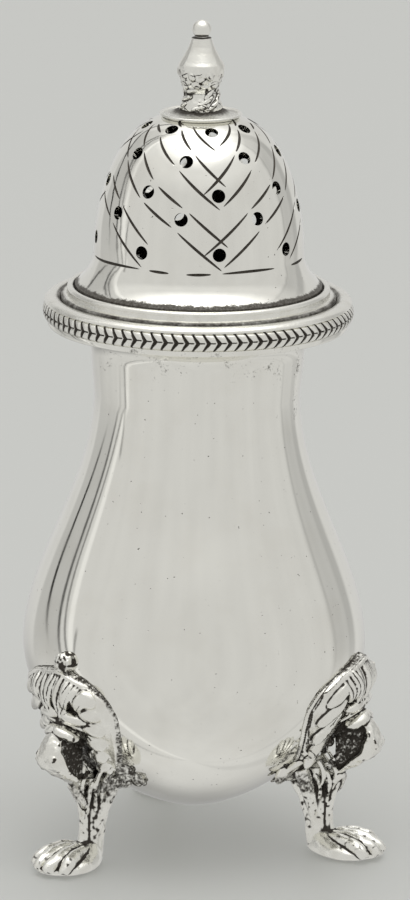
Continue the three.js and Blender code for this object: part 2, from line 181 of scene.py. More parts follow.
def settle(piece, name):
    """Names a new piece and moves its place into its mesh."""
    choose(piece)
    bpy.ops.object.transform_apply(location=True, rotation=True, scale=True)
    piece.name = name
    piece.data.name = name
    return piece


def traced(name, points):
    """A chain of edges: a plane merged to one corner, which is extruded from point to point."""
    start_clean()
    bpy.ops.mesh.primitive_plane_add(size=MM, location=points[0])
    chain = settle(bpy.context.object, name)
    bpy.ops.object.mode_set(mode="EDIT")
    bpy.ops.mesh.merge(type="CENTER")
    for here, there in zip(points, points[1:]):
        bpy.ops.mesh.extrude_region_move(TRANSFORM_OT_translate={"value": there - here})
    bpy.ops.object.mode_set(mode="OBJECT")
    return chain


def close_seams(gap):
    """Merges the active mesh's corners that lie closer than a gap, and turns its faces outwards."""
    bpy.ops.object.mode_set(mode="EDIT")
    bpy.ops.mesh.select_all(action="SELECT")
    bpy.ops.mesh.remove_doubles(threshold=gap)
    bpy.ops.mesh.normals_make_consistent(inside=False)
    bpy.ops.object.mode_set(mode="OBJECT")


def turned(name, profile, steps, closed=True):
    """Spins a profile of (radius, height) corners about the pot's axis."""
    corners = [AXIS + Vector((radius, 0, height)) for radius, height in profile]
    if closed:
        corners.append(corners[0])
    piece = traced(name, corners)
    bpy.ops.object.mode_set(mode="EDIT")
    bpy.ops.mesh.select_all(action="SELECT")
    bpy.ops.mesh.spin(steps=steps, angle=2 * math.pi, center=AXIS, axis=UP)
    close_seams(0.002 * MM)
    return piece


def smooth(piece, angle):
    """Shades a piece smooth, apart from corners sharper than an angle in degrees."""
    choose(piece)
    bpy.ops.object.shade_smooth_by_angle(angle=math.radians(angle))


def apply_modifier(piece, kind, **settings):
    """Adds one modifier to a piece, sets it and applies it."""
    choose(piece)
    modifier = piece.modifiers.new(kind.title(), kind)
    for key, value in settings.items():
        setattr(modifier, key, value)
    bpy.ops.object.modifier_apply(modifier=modifier.name)


def joined(name, pieces):
    """Joins several objects into one."""
    choose(*pieces)
    bpy.ops.object.join()
    return settle(bpy.context.view_layer.objects.active, name)


def cut_away(piece, cutter):
    """Takes the cutter's solid out of a piece, and removes the cutter."""
    apply_modifier(piece, "BOOLEAN", object=cutter, operation="DIFFERENCE", solver="MANIFOLD")
    bpy.data.objects.remove(cutter)


def spaced(start, end, count):
    """Evenly spaced values from start to end, both included."""
    return [start + (end - start) * i / (count - 1) for i in range(count)]


def arc(centre, radii, start, end, count):
    """Corners of an arc in a profile, with its angles in degrees and a radius along each axis."""
    angles = [math.radians(turn) for turn in spaced(start, end, count)]
    return [(centre[0] + radii[0] * math.cos(a), centre[1] + radii[1] * math.sin(a)) for a in angles]


def rounded(radius, height, size, start, end, count):
    """Corners of an arc in a profile, of one radius all round."""
    return arc((radius, height), (size, size), start, end, count)


def offset(profile, distance):
    """Moves a profile inwards along its own normals."""
    moved = []
    for i, (radius, height) in enumerate(profile):
        r0, h0 = profile[max(i - 1, 0)]
        r1, h1 = profile[min(i + 1, len(profile) - 1)]
        length = math.hypot(r1 - r0, h1 - h0)
        if radius < 0.01 * MM:
            moved.append((0, height + distance))
        else:
            moved.append((radius - distance * (h1 - h0) / length, height + distance * (r1 - r0) / length))
    return moved


def vertices_of(piece):
    """The places of a piece's vertices, as rows of three numbers."""
    places = np.empty(len(piece.data.vertices) * 3)
    piece.data.vertices.foreach_get("co", places)
    return places.reshape(-1, 3)


def seen_from_axis(piece):
    """The reach of a piece's vertices from the pot's axis, their heights, and their azimuths in degrees."""
    x, y, height = (vertices_of(piece) - np.array(AXIS)).T
    return np.hypot(x, y), height, np.degrees(np.arctan2(x, -y))


def move_vertices(piece, places):
    piece.data.vertices.foreach_set("co", places.ravel())
    piece.data.update()


def ramp(values, start, end):
    """Goes evenly from 0 at start to 1 at end. The end may be the lower one."""
    return np.clip((values - start) / (end - start), 0, 1)


def between(values, low, high, soft):
    """1 where values lie between two limits, falling to 0 over a soft edge inside them."""
    return ramp(values, low, low + soft) * ramp(values, high, high - soft)


def bell(values, middle, width):
    """1 in the middle, falling off on both sides as a bell curve does."""
    return np.exp(-(((values - middle) / width) ** 2))


def ripple(places, scale):
    """Smooth noise at each place, about -1 to 1, with a number of waves to the metre."""
    return np.array([noise.noise(Vector(place) * scale) for place in places])


def mark(piece, name, values):
    """Stores one number for each vertex of a piece, for its material to read."""
    attribute = piece.data.attributes.new(name, "FLOAT", "POINT")
    attribute.data.foreach_set("value", np.asarray(values, np.float32))


def finished(piece, body, slot, node, *materials):
    """Gives a piece its materials, and puts it in the place of the CAD node that it stands for."""
    piece.data.materials.clear()
    for material in materials:
        piece.data.materials.append(material)
    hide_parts(node)
    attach(piece, body)


# Shader maths


class Value:
    """One value of a shader. Python's operators add the Math nodes that work it out."""

    def __init__(self, tree, socket):
        self.tree = tree
        self.socket = socket

    def __add__(self, other):
        return self.tree.math("ADD", self, other)

    def __sub__(self, other):
        return self.tree.math("SUBTRACT", self, other)

    def __rsub__(self, other):
        return self.tree.math("SUBTRACT", other, self)

    def __mul__(self, other):
        return self.tree.math("MULTIPLY", self, other)

    __radd__ = __add__

    def ramp(self, start, end):
        """Goes smoothly from 0 at start to 1 at end. The end may be the lower one."""
        sockets = {"Value": self, "From Min": start, "From Max": end}
        return self.tree.value("ShaderNodeMapRange", sockets, interpolation_type="SMOOTHSTEP")


class Tree:
    """The shader nodes of a material or of the world."""

    def __init__(self, owner):
        owner.use_nodes = True
        self.owner = owner
        self.nodes = owner.node_tree.nodes
        self.links = owner.node_tree.links
        self.nodes.clear()

    def node(self, kind, sockets=None, **settings):
        """Adds a node, sets it, and then gives its sockets their values or links."""
        made = self.nodes.new(kind)
        for key, value in settings.items():
            setattr(made, key, value)
        for key, value in (sockets or {}).items():
            if isinstance(value, Value):
                self.links.new(value.socket, made.inputs[key])
            else:
                made.inputs[key].default_value = value
        return made

    def value(self, kind, sockets=None, output=0, **settings):
        return Value(self, self.node(kind, sockets, **settings).outputs[output])

    def math(self, operation, *terms):
        return self.value("ShaderNodeMath", dict(enumerate(terms)), operation=operation)

    def attribute(self, name):
        return self.value("ShaderNodeAttribute", output="Fac", attribute_name=name)

    def place(self, scale=(1, 1, 1), coordinates="Object"):
        """The place on the piece, stretched by a scale along each axis."""
        here = self.value("ShaderNodeTexCoord", output=coordinates)
        return self.value("ShaderNodeMapping", {"Vector": here, "Scale": scale})

    def noise(self, where, scale, detail=2.0, roughness=0.5):
        sockets = {"Vector": where, "Scale": scale, "Detail": detail, "Roughness": roughness}
        return self.value("ShaderNodeTexNoise", sockets)

    def mix(self, share, first, second):
        """Mixes two colours."""
        return self.value("ShaderNodeMix", {0: share, 6: first, 7: second}, output=2, data_type="RGBA")

    def bump(self, height, distance=MM):
        return self.value("ShaderNodeBump", {"Height": height, "Distance": distance, "Strength": 1.0})

    def blend(self, share, first, second):
        """Mixes two shaders."""
        mixed = self.node("ShaderNodeMixShader", {"Fac": share})
        self.links.new(first.outputs[0], mixed.inputs[1])
        self.links.new(second.outputs[0], mixed.inputs[2])
        return mixed

    def end_in(self, shader, kind="ShaderNodeOutputMaterial"):
        """Links a shader to the output, and gives back the material or the world."""
        self.links.new(shader.outputs[0], self.node(kind).inputs["Surface"])
        return self.owner

    def surface(self, sockets):
        """Ends the material in a Principled shader."""
        return self.end_in(self.node("ShaderNodeBsdfPrincipled", sockets))


def colour(values):
    return (*values, 1.0)


def polished_silver(name, dents=0.0):
    """Hand-polished sheet: upright marks, a film of tarnish, pits, dents in mm, grime in the corners, and
    stains with painted shade under the pot's lip.
    """
    finish = bpy.context.scene.shaker_finish
    tree = Tree(bpy.data.materials.new(name))
    film = tree.noise(tree.place(), 160, 3.0).ramp(0.42, 0.75)
    marks = tree.noise(tree.place((1, 1, 0.06)), 1600)
    scratch_field = tree.noise(tree.place((1, 1, 0.25)), 2600, 3.0, 0.7)
    pits = tree.noise(tree.place(), 2600, 1.0).ramp(0.76, 0.8)
    swell = tree.noise(tree.place((1, 1, 0.5)), 110, 1.0)
    hollows = tree.noise(tree.place(), 340)
    clots = tree.noise(tree.place(), 1300, 3.0, 0.65)
    grit = tree.noise(tree.place(), 3600, 3.0, 0.7)
    ragged = (clots - 0.5) * 0.7 + (grit - 0.5) * 0.8 + (hollows - 0.5) * 0.7
    # Dirt, and the painted shade under the pot's lip, darken the silver to the grime colour.
    grime_and_shade = (tree.attribute("grime_and_shade") + ragged).ramp(0.36, 0.66)
    tone = tree.mix(film * 0.35, colour(finish.silver), colour(finish.worn_silver))
    tone = tree.mix(pits * 0.75, tone, colour(finish.oxide))
    tone = tree.mix(grime_and_shade * (1.2 - grit * 0.5), tone, colour(finish.grime_and_shade))
    height = marks * 0.0011 + scratch_field * 0.0007 + swell * 0.035 - pits * 0.02
    height = height + hollows * dents + grime_and_shade * grit * 0.03
    return tree.surface({
        "Base Color": tone,
        "Metallic": 1.0 - grime_and_shade * 0.6,
        "Roughness": finish.polish_roughness + film * 0.05 + marks * 0.03 + pits * 0.3 + grime_and_shade * 0.4,
        "Normal": tree.bump(height),
    })


def cast_silver(name):
    """Cast and chased silver: bright on the high places, dark in the recesses with black oxide and painted
    shade.
    """
    finish = bpy.context.scene.shaker_finish
    tree = Tree(bpy.data.materials.new(name))
    grain = tree.noise(tree.place(), 3200, 3.0, 0.6)
    patches = tree.noise(tree.place(), 520)
    oxide_and_shade = tree.attribute("oxide_and_shade")
    # This dark mix is partly black oxide and partly painted shade in the recesses.
    dirt = (oxide_and_shade + (patches - 0.5) * 0.4 + (grain - 0.5) * 0.35).ramp(0.22, 0.75)
    film = patches.ramp(0.4, 0.75)
    tone = tree.mix(film * 0.5, colour(finish.silver), colour(finish.worn_silver))
    return tree.surface({
        "Base Color": tree.mix(dirt, tone, colour(finish.oxide)),
        "Metallic": 1.0 - dirt * 0.5,
        "Roughness": finish.cast_roughness + dirt * 0.35 + film * 0.06,
        "Normal": tree.bump(grain * (0.02 + oxide_and_shade * 0.1)),
    })


def oxidised_silver(name):
    """Silver that is never polished: the inside of the lid and the engraved cuts."""
    finish = bpy.context.scene.shaker_finish
    tree = Tree(bpy.data.materials.new(name))
    grain = tree.noise(tree.place(), 1800, 3.0)
    worn_oxide = colour((0.13, 0.115, 0.095))
    return tree.surface({
        "Base Color": tree.mix(grain.ramp(0.3, 0.8) * 0.5, colour(finish.oxide), worn_oxide),
        "Metallic": 0.6,
        "Roughness": 0.45 + grain * 0.2,
        "Normal": tree.bump(grain, 0.03 * MM),
    })


# The pot


WAIST_DROP = 8.9 * MM


def pot_radius(height):
    """Outer radius of the pot between its bottom and its waist: a full bowl under a slow S-shaped neck."""
    sizes = bpy.context.scene.shaker_sizes
    belly = sizes.belly_height
    if height < belly:
        depth = min((belly - height) / (belly - sizes.bottom_height), 1)
        return sizes.belly_radius * (1 - depth ** 1.8) ** (1 / 1.6)
    rise = min((height - belly) / (sizes.lip_height - WAIST_DROP - belly), 1)
    swing = (1 + math.cos(math.pi * rise ** 0.93)) / 2
    return sizes.waist_radius + (sizes.belly_radius - sizes.waist_radius) * swing


class SHAKER_OT_pot(bpy.types.Operator):
    """Spins the raised pot with its bowl, waist and turned-over lip"""

    bl_idname = "shaker.pot"
    bl_label = "Pot"

    throat_drop = 3.9 * MM
    throat_flare = 0.43 * MM
    lip_thickness = 0.7 * MM
    lip_overhang = 1.4 * MM
    lip_edge = 0.18 * MM
    mouth_roll = 1.3 * MM
    bore_depth = 6.1 * MM
    belly_corners = 34
    # How far under the lip the stains and painted shade start and are full, and the streak of a stain on the
    # neck
    shade_and_stain_start = 8.25 * MM
    shade_and_stain_full = 4.25 * MM
    streak_drop = 9.25 * MM
    streak_height = 4 * MM
    streak_azimuth = 57
    streak_width = 7

    def execute(self, context):
        sizes = context.scene.shaker_sizes
        top = sizes.lip_height
        span = sizes.belly_height - sizes.bottom_height
        turns = [math.radians(turn) for turn in spaced(90, 0, self.belly_corners)]
        heights = [sizes.belly_height - math.sin(turn) * span for turn in turns]
        heights += spaced(sizes.belly_height, top - WAIST_DROP, self.belly_corners)[1:]
        belly = [(pot_radius(height), height) for height in heights]
        belly[0] = (0, sizes.bottom_height)
        outline = belly + self.lip(sizes)
        roll = self.mouth_roll
        outline += rounded(sizes.bore_radius + roll, top - roll, roll, 90, 180, 9)
        outline += [(sizes.bore_radius, top - self.bore_depth)]
        outline += list(reversed(offset(belly, sizes.wall)[::2]))
        pot = turned("pot", outline, sizes.turning_steps, closed=False)
        _, height, azimuth = seen_from_axis(pot)
        # Under the lip, stains mixed with painted shade; on the neck, a stain's streak.
        lip_shade_and_stains = ramp(height, top - self.shade_and_stain_start, top - self.shade_and_stain_full)
        streak = bell(azimuth, self.streak_azimuth, self.streak_width)
        streak *= bell(height, top - self.streak_drop, self.streak_height)
        mark(pot, "grime_and_shade", lip_shade_and_stains * 0.24 + streak * 0.34)
        smooth(pot, 50)
        finished(pot, "pot", "polished_silver", "body_shell", polished_silver("pot silver"))
        return {"FINISHED"}

    def lip(self, sizes):
        """The flare under the lip, and the lip's rounded edge."""
        throat = sizes.waist_radius + self.throat_flare
        foot = sizes.lip_height - self.throat_drop
        low = sizes.lip_height - self.lip_thickness
        edge = self.lip_edge
        flare = (sizes.lip_radius - self.lip_overhang - throat, low - foot)
        corners = arc((throat + flare[0], foot), flare, 180, 90, 14)
        corners += rounded(sizes.lip_radius - edge, low + edge, edge, -90, 0, 5)
        corners += [(sizes.lip_radius, sizes.lip_height - edge / 3)]
        corners += [(sizes.lip_radius - edge / 3, sizes.lip_height)]
        return corners


# The chased mouth ring


class SHAKER_OT_mouth_ring(bpy.types.Operator):
    """Spins the ring round the mouth and sets a chevron of two leaves on it, copied all the way round"""

    bl_idname = "shaker.mouth_ring"
    bl_label = "Mouth ring"

    lip_overlap = 1.45 * MM
    band = 2.1 * MM
    bulge = 0.37 * MM
    groove = 0.3 * MM
    shoulder = 0.85 * MM
    shoulder_lift = 0.06 * MM
    inner_bevel = (0.3 * MM, 0.35 * MM)
    # The chevrons: how far an arm leans, how deep it lies in the band, and its strokes
    lean = 0.74 * MM
    sink = 0.05 * MM
    cut_depth = 0.22 * MM
    cut_width = 0.22 * MM
    cut_widening = 0.2 * MM
    stem_taper = 0.1 * MM
    # How far under the band's face the oxide starts and is full
    oxide_start = 0.065 * MM
    oxide_full = 0.155 * MM
    column_shares = (0, 0.07, 0.15, 0.27, 0.5, 0.73, 0.85, 0.93, 1)

    def execute(self, context):
        sizes = context.scene.shaker_sizes
        radius = radius_of("mouth_border_ring")
        inner = sizes.lip_radius - self.lip_overlap
        low = sizes.lip_height
        ring = turned("mouth_ring", self.outline(radius, inner, low), sizes.turning_steps)
        spacing = 2 * math.pi * radius / sizes.chevrons
        pattern = joined("chevrons", [self.leaf(side, radius, low, spacing) for side in (1, -1)])
        others = sizes.chevrons - 1
        bpy.ops.object.mode_set(mode="EDIT")
        bpy.ops.mesh.select_all(action="SELECT")
        bpy.ops.mesh.normals_make_consistent(inside=False)
        bpy.ops.mesh.spin(
            steps=others, dupli=True, angle=2 * math.pi * others / sizes.chevrons, center=AXIS, axis=UP)
        bpy.ops.object.mode_set(mode="OBJECT")
        for piece, angle in ((ring, 40), (pattern, 60)):
            mark(piece, "oxide_and_shade", self.oxide_and_shade(piece, radius, inner, low))
            smooth(piece, angle)
        ring = joined("mouth_ring", [ring, pattern])
        finished(ring, "pot", "cast_silver", "mouth_border_ring", cast_silver("ring silver"))
        return {"FINISHED"}

    def outline(self, radius, inner, low):
        """The ring's profile: the bulging band below, and a round shoulder above it."""
        crown = top_of("mouth_border_ring")
        face = (radius - self.bulge - self.groove, low + self.band / 2)
        centre = (inner + self.shoulder, low + self.band + self.shoulder_lift)
        reach = (radius - self.bulge * 0.7 - centre[0], crown - centre[1])
        bevel_width, bevel_drop = self.inner_bevel
        corners = [(inner, low)]
        corners += arc(face, (self.bulge, self.band / 2), -90, 90, 13)
        corners += arc(centre, reach, 0, 90, 12)
        corners += [(inner + bevel_width, crown - self.shoulder_lift), (inner, crown - bevel_drop)]
        return corners

    def leaf(self, side, radius, low, spacing):
        """One arm of a chevron: a small grid bent on to the upper or lower half of the band."""
        start_clean()
        bpy.ops.mesh.primitive_grid_add(x_subdivisions=8, y_subdivisions=6, size=2)
        leaf = settle(bpy.context.object, "leaf")
        along, up, _ = vertices_of(leaf).T
        along = np.interp(along, spaced(-1, 1, 9), self.column_shares) * spacing
        outward = (up + 1) / 2
        face = radius - self.sink - self.bulge * outward ** 2
        face -= self.groove_depth(along, spacing, outward)
        turn = (along - self.lean * outward) / radius
        height = low + (1 + side * outward) * self.band / 2
        move_vertices(leaf, np.column_stack((face * np.sin(turn), AXIS.y - face * np.cos(turn), height)))
        return leaf

    def groove_depth(self, along, spacing, outward):
        """Depth of the strokes on both sides of an arm, and of the short one on the band's middle line."""
        half_width = self.cut_width + self.cut_widening * (1 - outward) ** 2
        stroke = ramp(np.minimum(along, spacing - along), half_width, 0)
        stem_end = 0.62 * spacing
        stem = ramp(outward, 0.16, 0) * ramp(along, stem_end, stem_end - self.stem_taper)
        edge = ramp(outward, 0.9, 1)
        return self.cut_depth * np.maximum(np.maximum(stroke, stem), edge)

    def oxide_and_shade(self, piece, radius, inner, low):
        """How deep each vertex lies under the band's face, and how far in the corner beside the lid."""
        reach, height, _ = seen_from_axis(piece)
        rise = (height - low) / (self.band / 2) - 1
        sunk = radius - self.bulge * rise ** 2 - reach
        cut = ramp(sunk, self.oxide_start, self.oxide_full)
        corner = ramp(reach, inner + self.shoulder, inner + 0.4 * MM) * 0.6
        return np.where(np.abs(rise) < 0.97, cut, corner)


# The lid


class SHAKER_OT_lid_rim(bpy.types.Operator):
    """Spins the lid's stepped rim: a flat seat, a sloping shoulder and a raised bead"""

    bl_idname = "shaker.lid_rim"
    bl_label = "Lid rim"

    seam_rise = 2.9 * MM
    plate = 1.0 * MM
    seat_bevel = 0.1 * MM
    edge = 0.25 * MM
    edge_drop = 0.2 * MM
    bead_inset = 1.15 * MM
    bead_radius = 0.42 * MM
    groove_inset = 0.45 * MM
    ledge_drop = 0.42 * MM
    ledge_width = 1.2 * MM
    # Where oxide gathers: in the gutter outside the bead, and at the foot of the groove inside it
    gutter_offset = 0.62 * MM
    gutter_width = 0.2 * MM
    foot_width = 0.22 * MM

    def execute(self, context):
        sizes = context.scene.shaker_sizes
        radius, seat, top = extent_of("lid_rim_moulding")
        seam = sizes.lip_height + self.seam_rise
        bead = radius - self.bead_inset
        groove = bead - self.groove_inset
        ledge = top - self.ledge_drop
        ledge_end = groove - self.ledge_width
        bevel = self.seat_bevel
        outline = [(sizes.bore_radius, seat), (radius - bevel, seat), (radius, seat + bevel)]
        outline += [(radius, height) for height in spaced(seat + 3 * bevel, seam - self.edge_drop, 8)]
        outline += rounded(radius - self.edge, seam - self.edge_drop, self.edge, 0, 75, 6)
        outline += [(bead + self.bead_radius * 1.15, seam + 0.16 * MM)]
        outline += rounded(bead, top - self.bead_radius, self.bead_radius, -20, 175, 15)
        outline += [(groove, ledge), (ledge_end, ledge)]
        outline += [(ledge_end, seat + self.plate), (sizes.bore_radius, seat + self.plate)]
        rim = turned("lid_rim", outline, sizes.turning_steps)
        reach, height, _ = seen_from_axis(rim)
        gutter = bell(reach, bead + self.gutter_offset, self.gutter_width) * 0.12
        foot = bell(reach, groove, self.foot_width)
        inside = ramp(reach, radius + 0.02 * MM, radius - 0.08 * MM)
        outer = ramp(reach, radius - 0.45 * MM, radius - 0.25 * MM)
        outer *= np.where(height > seam - 0.45 * MM, 0.62, 0.3)
        mark(rim, "oxide_and_shade", np.clip(np.maximum(gutter, foot) * inside + outer, 0, 1))
        smooth(rim, 40)
        finished(rim, "lid", "polished_silver", "lid_rim_moulding", cast_silver("rim silver"))
        return {"FINISHED"}


class SHAKER_OT_lid_sleeve(bpy.types.Operator):
    """Spins the thin sleeve under the lid that plugs the pot's mouth"""

    bl_idname = "shaker.lid_sleeve"
    bl_label = "Lid sleeve"

    clearance = 0.1 * MM
    flange_thickness = 0.6 * MM
    edge = 0.12 * MM

    def execute(self, context):
        sizes = context.scene.shaker_sizes
        flange, low, top = extent_of("lid_bezel")
        flange_low = top - self.flange_thickness
        outer = sizes.bore_radius - self.clearance
        inner = outer - sizes.wall
        outline = rounded(inner + self.edge, low + self.edge, self.edge, 180, 270, 4)
        outline += rounded(outer - self.edge, low + self.edge, self.edge, -90, 0, 4)
        outline += [(outer, flange_low), (flange, flange_low), (flange, top), (inner, top)]
        sleeve = turned("lid_sleeve", outline, sizes.turning_steps)
        smooth(sleeve, 40)
        finished(sleeve, "lid", "polished_silver", "lid_bezel", polished_silver("sleeve silver"))
        return {"FINISHED"}


DOME_FOOT = bottom_of("lid_dome") + 0.4 * MM
DOME_SPRING = DOME_FOOT + 4.1 * MM
DOME_RISE = 16.5 * MM
DOME_POWER = 1.8


def dome_radius(height):
    """Outer radius of the lid's dome, above and below the place where its foot starts to flare."""
    radius = bpy.context.scene.shaker_sizes.dome_radius
    if height < DOME_SPRING:
        fall = (DOME_SPRING - height) / (DOME_SPRING - DOME_FOOT)
        return radius + (radius_of("lid_dome") - radius) * fall ** 2.2
    rise = min((height - DOME_SPRING) / DOME_RISE, 1)
    return radius * (1 - rise ** DOME_POWER) ** (1 / 3)


def dome_slope(height, step=0.02 * MM):
    """How much the dome's radius grows with the height."""
    return (dome_radius(height + step) - dome_radius(height - step)) / (2 * step)


def on_dome(azimuth, height, lift=0.0):
    """A place on the dome and its normal, with the azimuth in degrees from the front towards the right."""
    turn = math.radians(azimuth)
    normal = Vector((math.sin(turn), -math.cos(turn), -dome_slope(height))).normalized()
    radius = dome_radius(height)
    place = AXIS + Vector((radius * math.sin(turn), -radius * math.cos(turn), height))
    return place + normal * lift, normal


def depth_in_dome(radius, height):
    """How deep a place lies under the dome's outer face."""
    dome = bpy.context.scene.shaker_sizes.dome_radius
    if height < DOME_SPRING:
        return dome_radius(height) - radius
    rise = min((height - DOME_SPRING) / DOME_RISE, 1)
    share = min(radius / dome, 1)
    level = share ** 3 + rise ** DOME_POWER - 1
    return -level / math.hypot(3 * share ** 2 / dome, DOME_POWER * rise ** (DOME_POWER - 1) / DOME_RISE)


class SHAKER_OT_dome(bpy.types.Operator):
    """Spins the lid's dome, drills its five rows of holes and engraves the double lines between them"""

    bl_idname = "shaker.dome"
    bl_label = "Dome"

    bore = 0.95 * MM
    crown_flat = 2.2 * MM
    grime_height = 1.1 * MM
    grime_full_height = 0.4 * MM
    burin_radius = 0.2 * MM
    burin_lift = 0.075 * MM
    engraving_depth = 0.2 * MM
    # Heights in mm of the rows of holes, of the highest stroke and of the line round the dome's foot
    row_heights = (88.35, 85.5, 81.8, 78.9, 74.85)
    highest_stroke = 89.2
    base_line_height = 72.75
    holes_per_row = 8
    # How far the holes wander from an even spacing: degrees round the dome, and mm up and down
    wander = (1.6, 0.12)
    # From where to where each stroke of the line round the dome's foot runs, in degrees
    base_line = (
        (-92, -45), (-40, -28), (-19, -5), (0, 34), (48, 66),
        (76, 118), (123, 140), (146, 178), (184, 226), (231, 262),
    )
    # The stroke that crosses the top of each hand's lines, from one (azimuth, height) to the other
    top_strokes = {1: ((-22, 88.9), (1, 86.5)), -1: ((29, 89.0), (4, 87.0))}
    # How far each hand's lines, on each side of the holes, run past the point of the V
    overshoots = {(1, 1): 0.22, (1, -1): 0.03, (-1, 1): 0.12, (-1, -1): 0.28}
    # Distance in mm of each line from the holes' middles
    line_spread = 1.3

    def execute(self, context):
        sizes = context.scene.shaker_sizes
        foot_radius, low, top = extent_of("lid_dome")
        heights = spaced(DOME_FOOT, DOME_SPRING, 14)[:-1]
        for share in spaced(0, 1, 60):
            height = DOME_SPRING + DOME_RISE * math.sin(share * math.pi / 2)
            if height < top - 0.01 * MM:
                heights.append(height)
        outside = [(dome_radius(height), height) for height in heights]
        outline = [(foot_radius, low)] + outside
        outline += [(self.crown_flat, top), (self.bore, top), (self.bore, top - sizes.wall)]
        outline += list(reversed(offset(outside, sizes.wall)[1:]))
        outline += [(foot_radius - sizes.wall, low)]
        dome = turned("dome", outline, 256)
        for lines in self.strokes():
            cut_away(dome, self.burin(lines))
        cut_away(dome, self.drills(sizes.hole_radius))
        _, height, _ = seen_from_axis(dome)
        grime_and_shade = ramp(height, low + self.grime_height, low + self.grime_full_height)
        mark(dome, "grime_and_shade", grime_and_shade * 1.1)
        smooth(dome, 35)
        finished(
            dome, "lid", "polished_silver", "lid_dome",
            polished_silver("dome silver", 0.03), oxidised_silver("dome oxide"))
        self.blacken(dome, sizes.wall)
        return {"FINISHED"}

    def drills(self, radius):
        """Forty short drills, square to the dome's face, which wander a little as a hand does."""
        drills = []
        step = 360 / self.holes_per_row
        sideways, upwards = self.wander
        for row, row_height in enumerate(self.row_heights):
            for i in range(self.holes_per_row):
                azimuth = step * (i + (row % 2) / 2) + sideways * math.sin(5 * i + 3 * row)
                height = row_height + upwards * math.sin(3 * i + 2 * row)
                place, normal = on_dome(azimuth, height * MM)
                bpy.ops.mesh.primitive_cylinder_add(
                    vertices=28, radius=radius, depth=4 * MM, location=place,
                    rotation=normal.to_track_quat("Z", "Y").to_euler())
                drills.append(bpy.context.object)
                bpy.ops.object.select_all(action="DESELECT")
        return joined("drills", drills)

    def strokes(self):
        """Lists of strokes of (azimuth, height in mm, girth): each V's two hands, and the base line."""
        a, b, c, d, e = self.row_heights
        strips = (
            ((0, c), (-22.5, b), (-45, a), (-60, a + 0.6)),
            ((0, e), (-22.5, d), (-45, c), (-67.5, b), (-90, a)),
            ((-45, e), (-67.5, d), (-90, c)),
        )
        cuts = []
        for hand in (1, -1):
            lines = []
            for middle in (0, 180):
                ends = [(middle + azimuth, height) for azimuth, height in self.top_strokes[hand]]
                lines.append(self.stroke(ends, 0, 1))
                for strip in strips:
                    for side in (1, -1):
                        line = self.beside(strip, side * self.line_spread)
                        knots = [(middle + hand * azimuth, height) for azimuth, height in line]
                        lines += self.dashes(knots, self.overshoots[hand, side], hand * 2 + side + middle)
            cuts.append(lines)
        foot_lines = []
        for ends in self.base_line:
            knots = [
                (azimuth, self.base_line_height + 0.1 * math.sin(azimuth / 11))
                for azimuth in spaced(*ends, 13)]
            foot_lines.append(self.stroke(knots, 0, 12))
        return cuts + [foot_lines]

    def dashes(self, knots, overshoot, seed):
        """Breaks a line into one stroke for each pair of knots, with small gaps beside the holes."""
        lines = []
        for i in range(len(knots) - 1):
            start = i + 0.07 + 0.06 * math.sin(7 * i + seed) if i else -overshoot
            end = i + 0.95 + 0.05 * math.sin(4 * i + 2 * seed)
            lines.append(self.stroke(knots, start, end))
        return lines

    def stroke(self, knots, start, end):
        """One tapered stroke between two places on a line, counted in its knots."""
        points = []
        for share in spaced(0, 1, 13):
            girth = 0.3 + 0.7 * max(math.sin(math.pi * share), 0) ** 0.6
            where = start + (end - start) * share
            i = min(max(int(where), 0), len(knots) - 2)
            (x0, y0), (x1, y1) = knots[i], knots[i + 1]
            points.append((x0 + (x1 - x0) * (where - i), y0 + (y1 - y0) * (where - i), girth))
        return points

    def beside(self, strip, distance):
        """A strip's line through its holes, moved sideways on the dome by a distance in mm."""
        line = []
        for i, (azimuth, height) in enumerate(strip):
            before = strip[max(i - 1, 0)]
            after = strip[min(i + 1, len(strip) - 1)]
            reach = math.radians(dome_radius(height * MM) / MM)
            rise = 1 / max(math.cos(math.atan(dome_slope(height * MM, 0.05 * MM))), 0.3)
            along = Vector(((after[0] - before[0]) * reach, (after[1] - before[1]) * rise)).normalized()
            line.append((azimuth - along.y * distance / reach, height + along.x * distance / rise))
        return line

    def burin(self, lines):
        """Thin rods along the strokes, half sunk in the dome, as cutters."""
        rods = bpy.data.curves.new("burin", "CURVE")
        rods.dimensions = "3D"
        rods.bevel_depth = self.burin_radius
        rods.bevel_resolution = 2
        rods.use_fill_caps = True
        for line in lines:
            spline = rods.splines.new("POLY")
            spline.points.add(len(line) - 1)
            for point, (azimuth, height, girth) in zip(spline.points, line):
                place, _ = on_dome(azimuth, min(height, self.highest_stroke) * MM, self.burin_lift)
                point.co = (*place, 1)
                point.radius = girth
        cutter = bpy.data.objects.new("burin", rods)
        bpy.context.scene.collection.objects.link(cutter)
        choose(cutter)
        bpy.ops.object.convert(target="MESH")
        close_seams(0.001 * MM)
        return bpy.context.object

    def blacken(self, dome, wall):
        """Gives the engraved cuts and the inside their oxide, and leaves the holes' walls bright."""
        for face in dome.data.polygons:
            place = face.center - AXIS
            deep = depth_in_dome(math.hypot(place.x, place.y), place.z)
            cut = 0.008 * MM < deep < self.engraving_depth
            face.material_index = 1 if cut or deep > 0.85 * wall else 0


# The finial and the dish under it


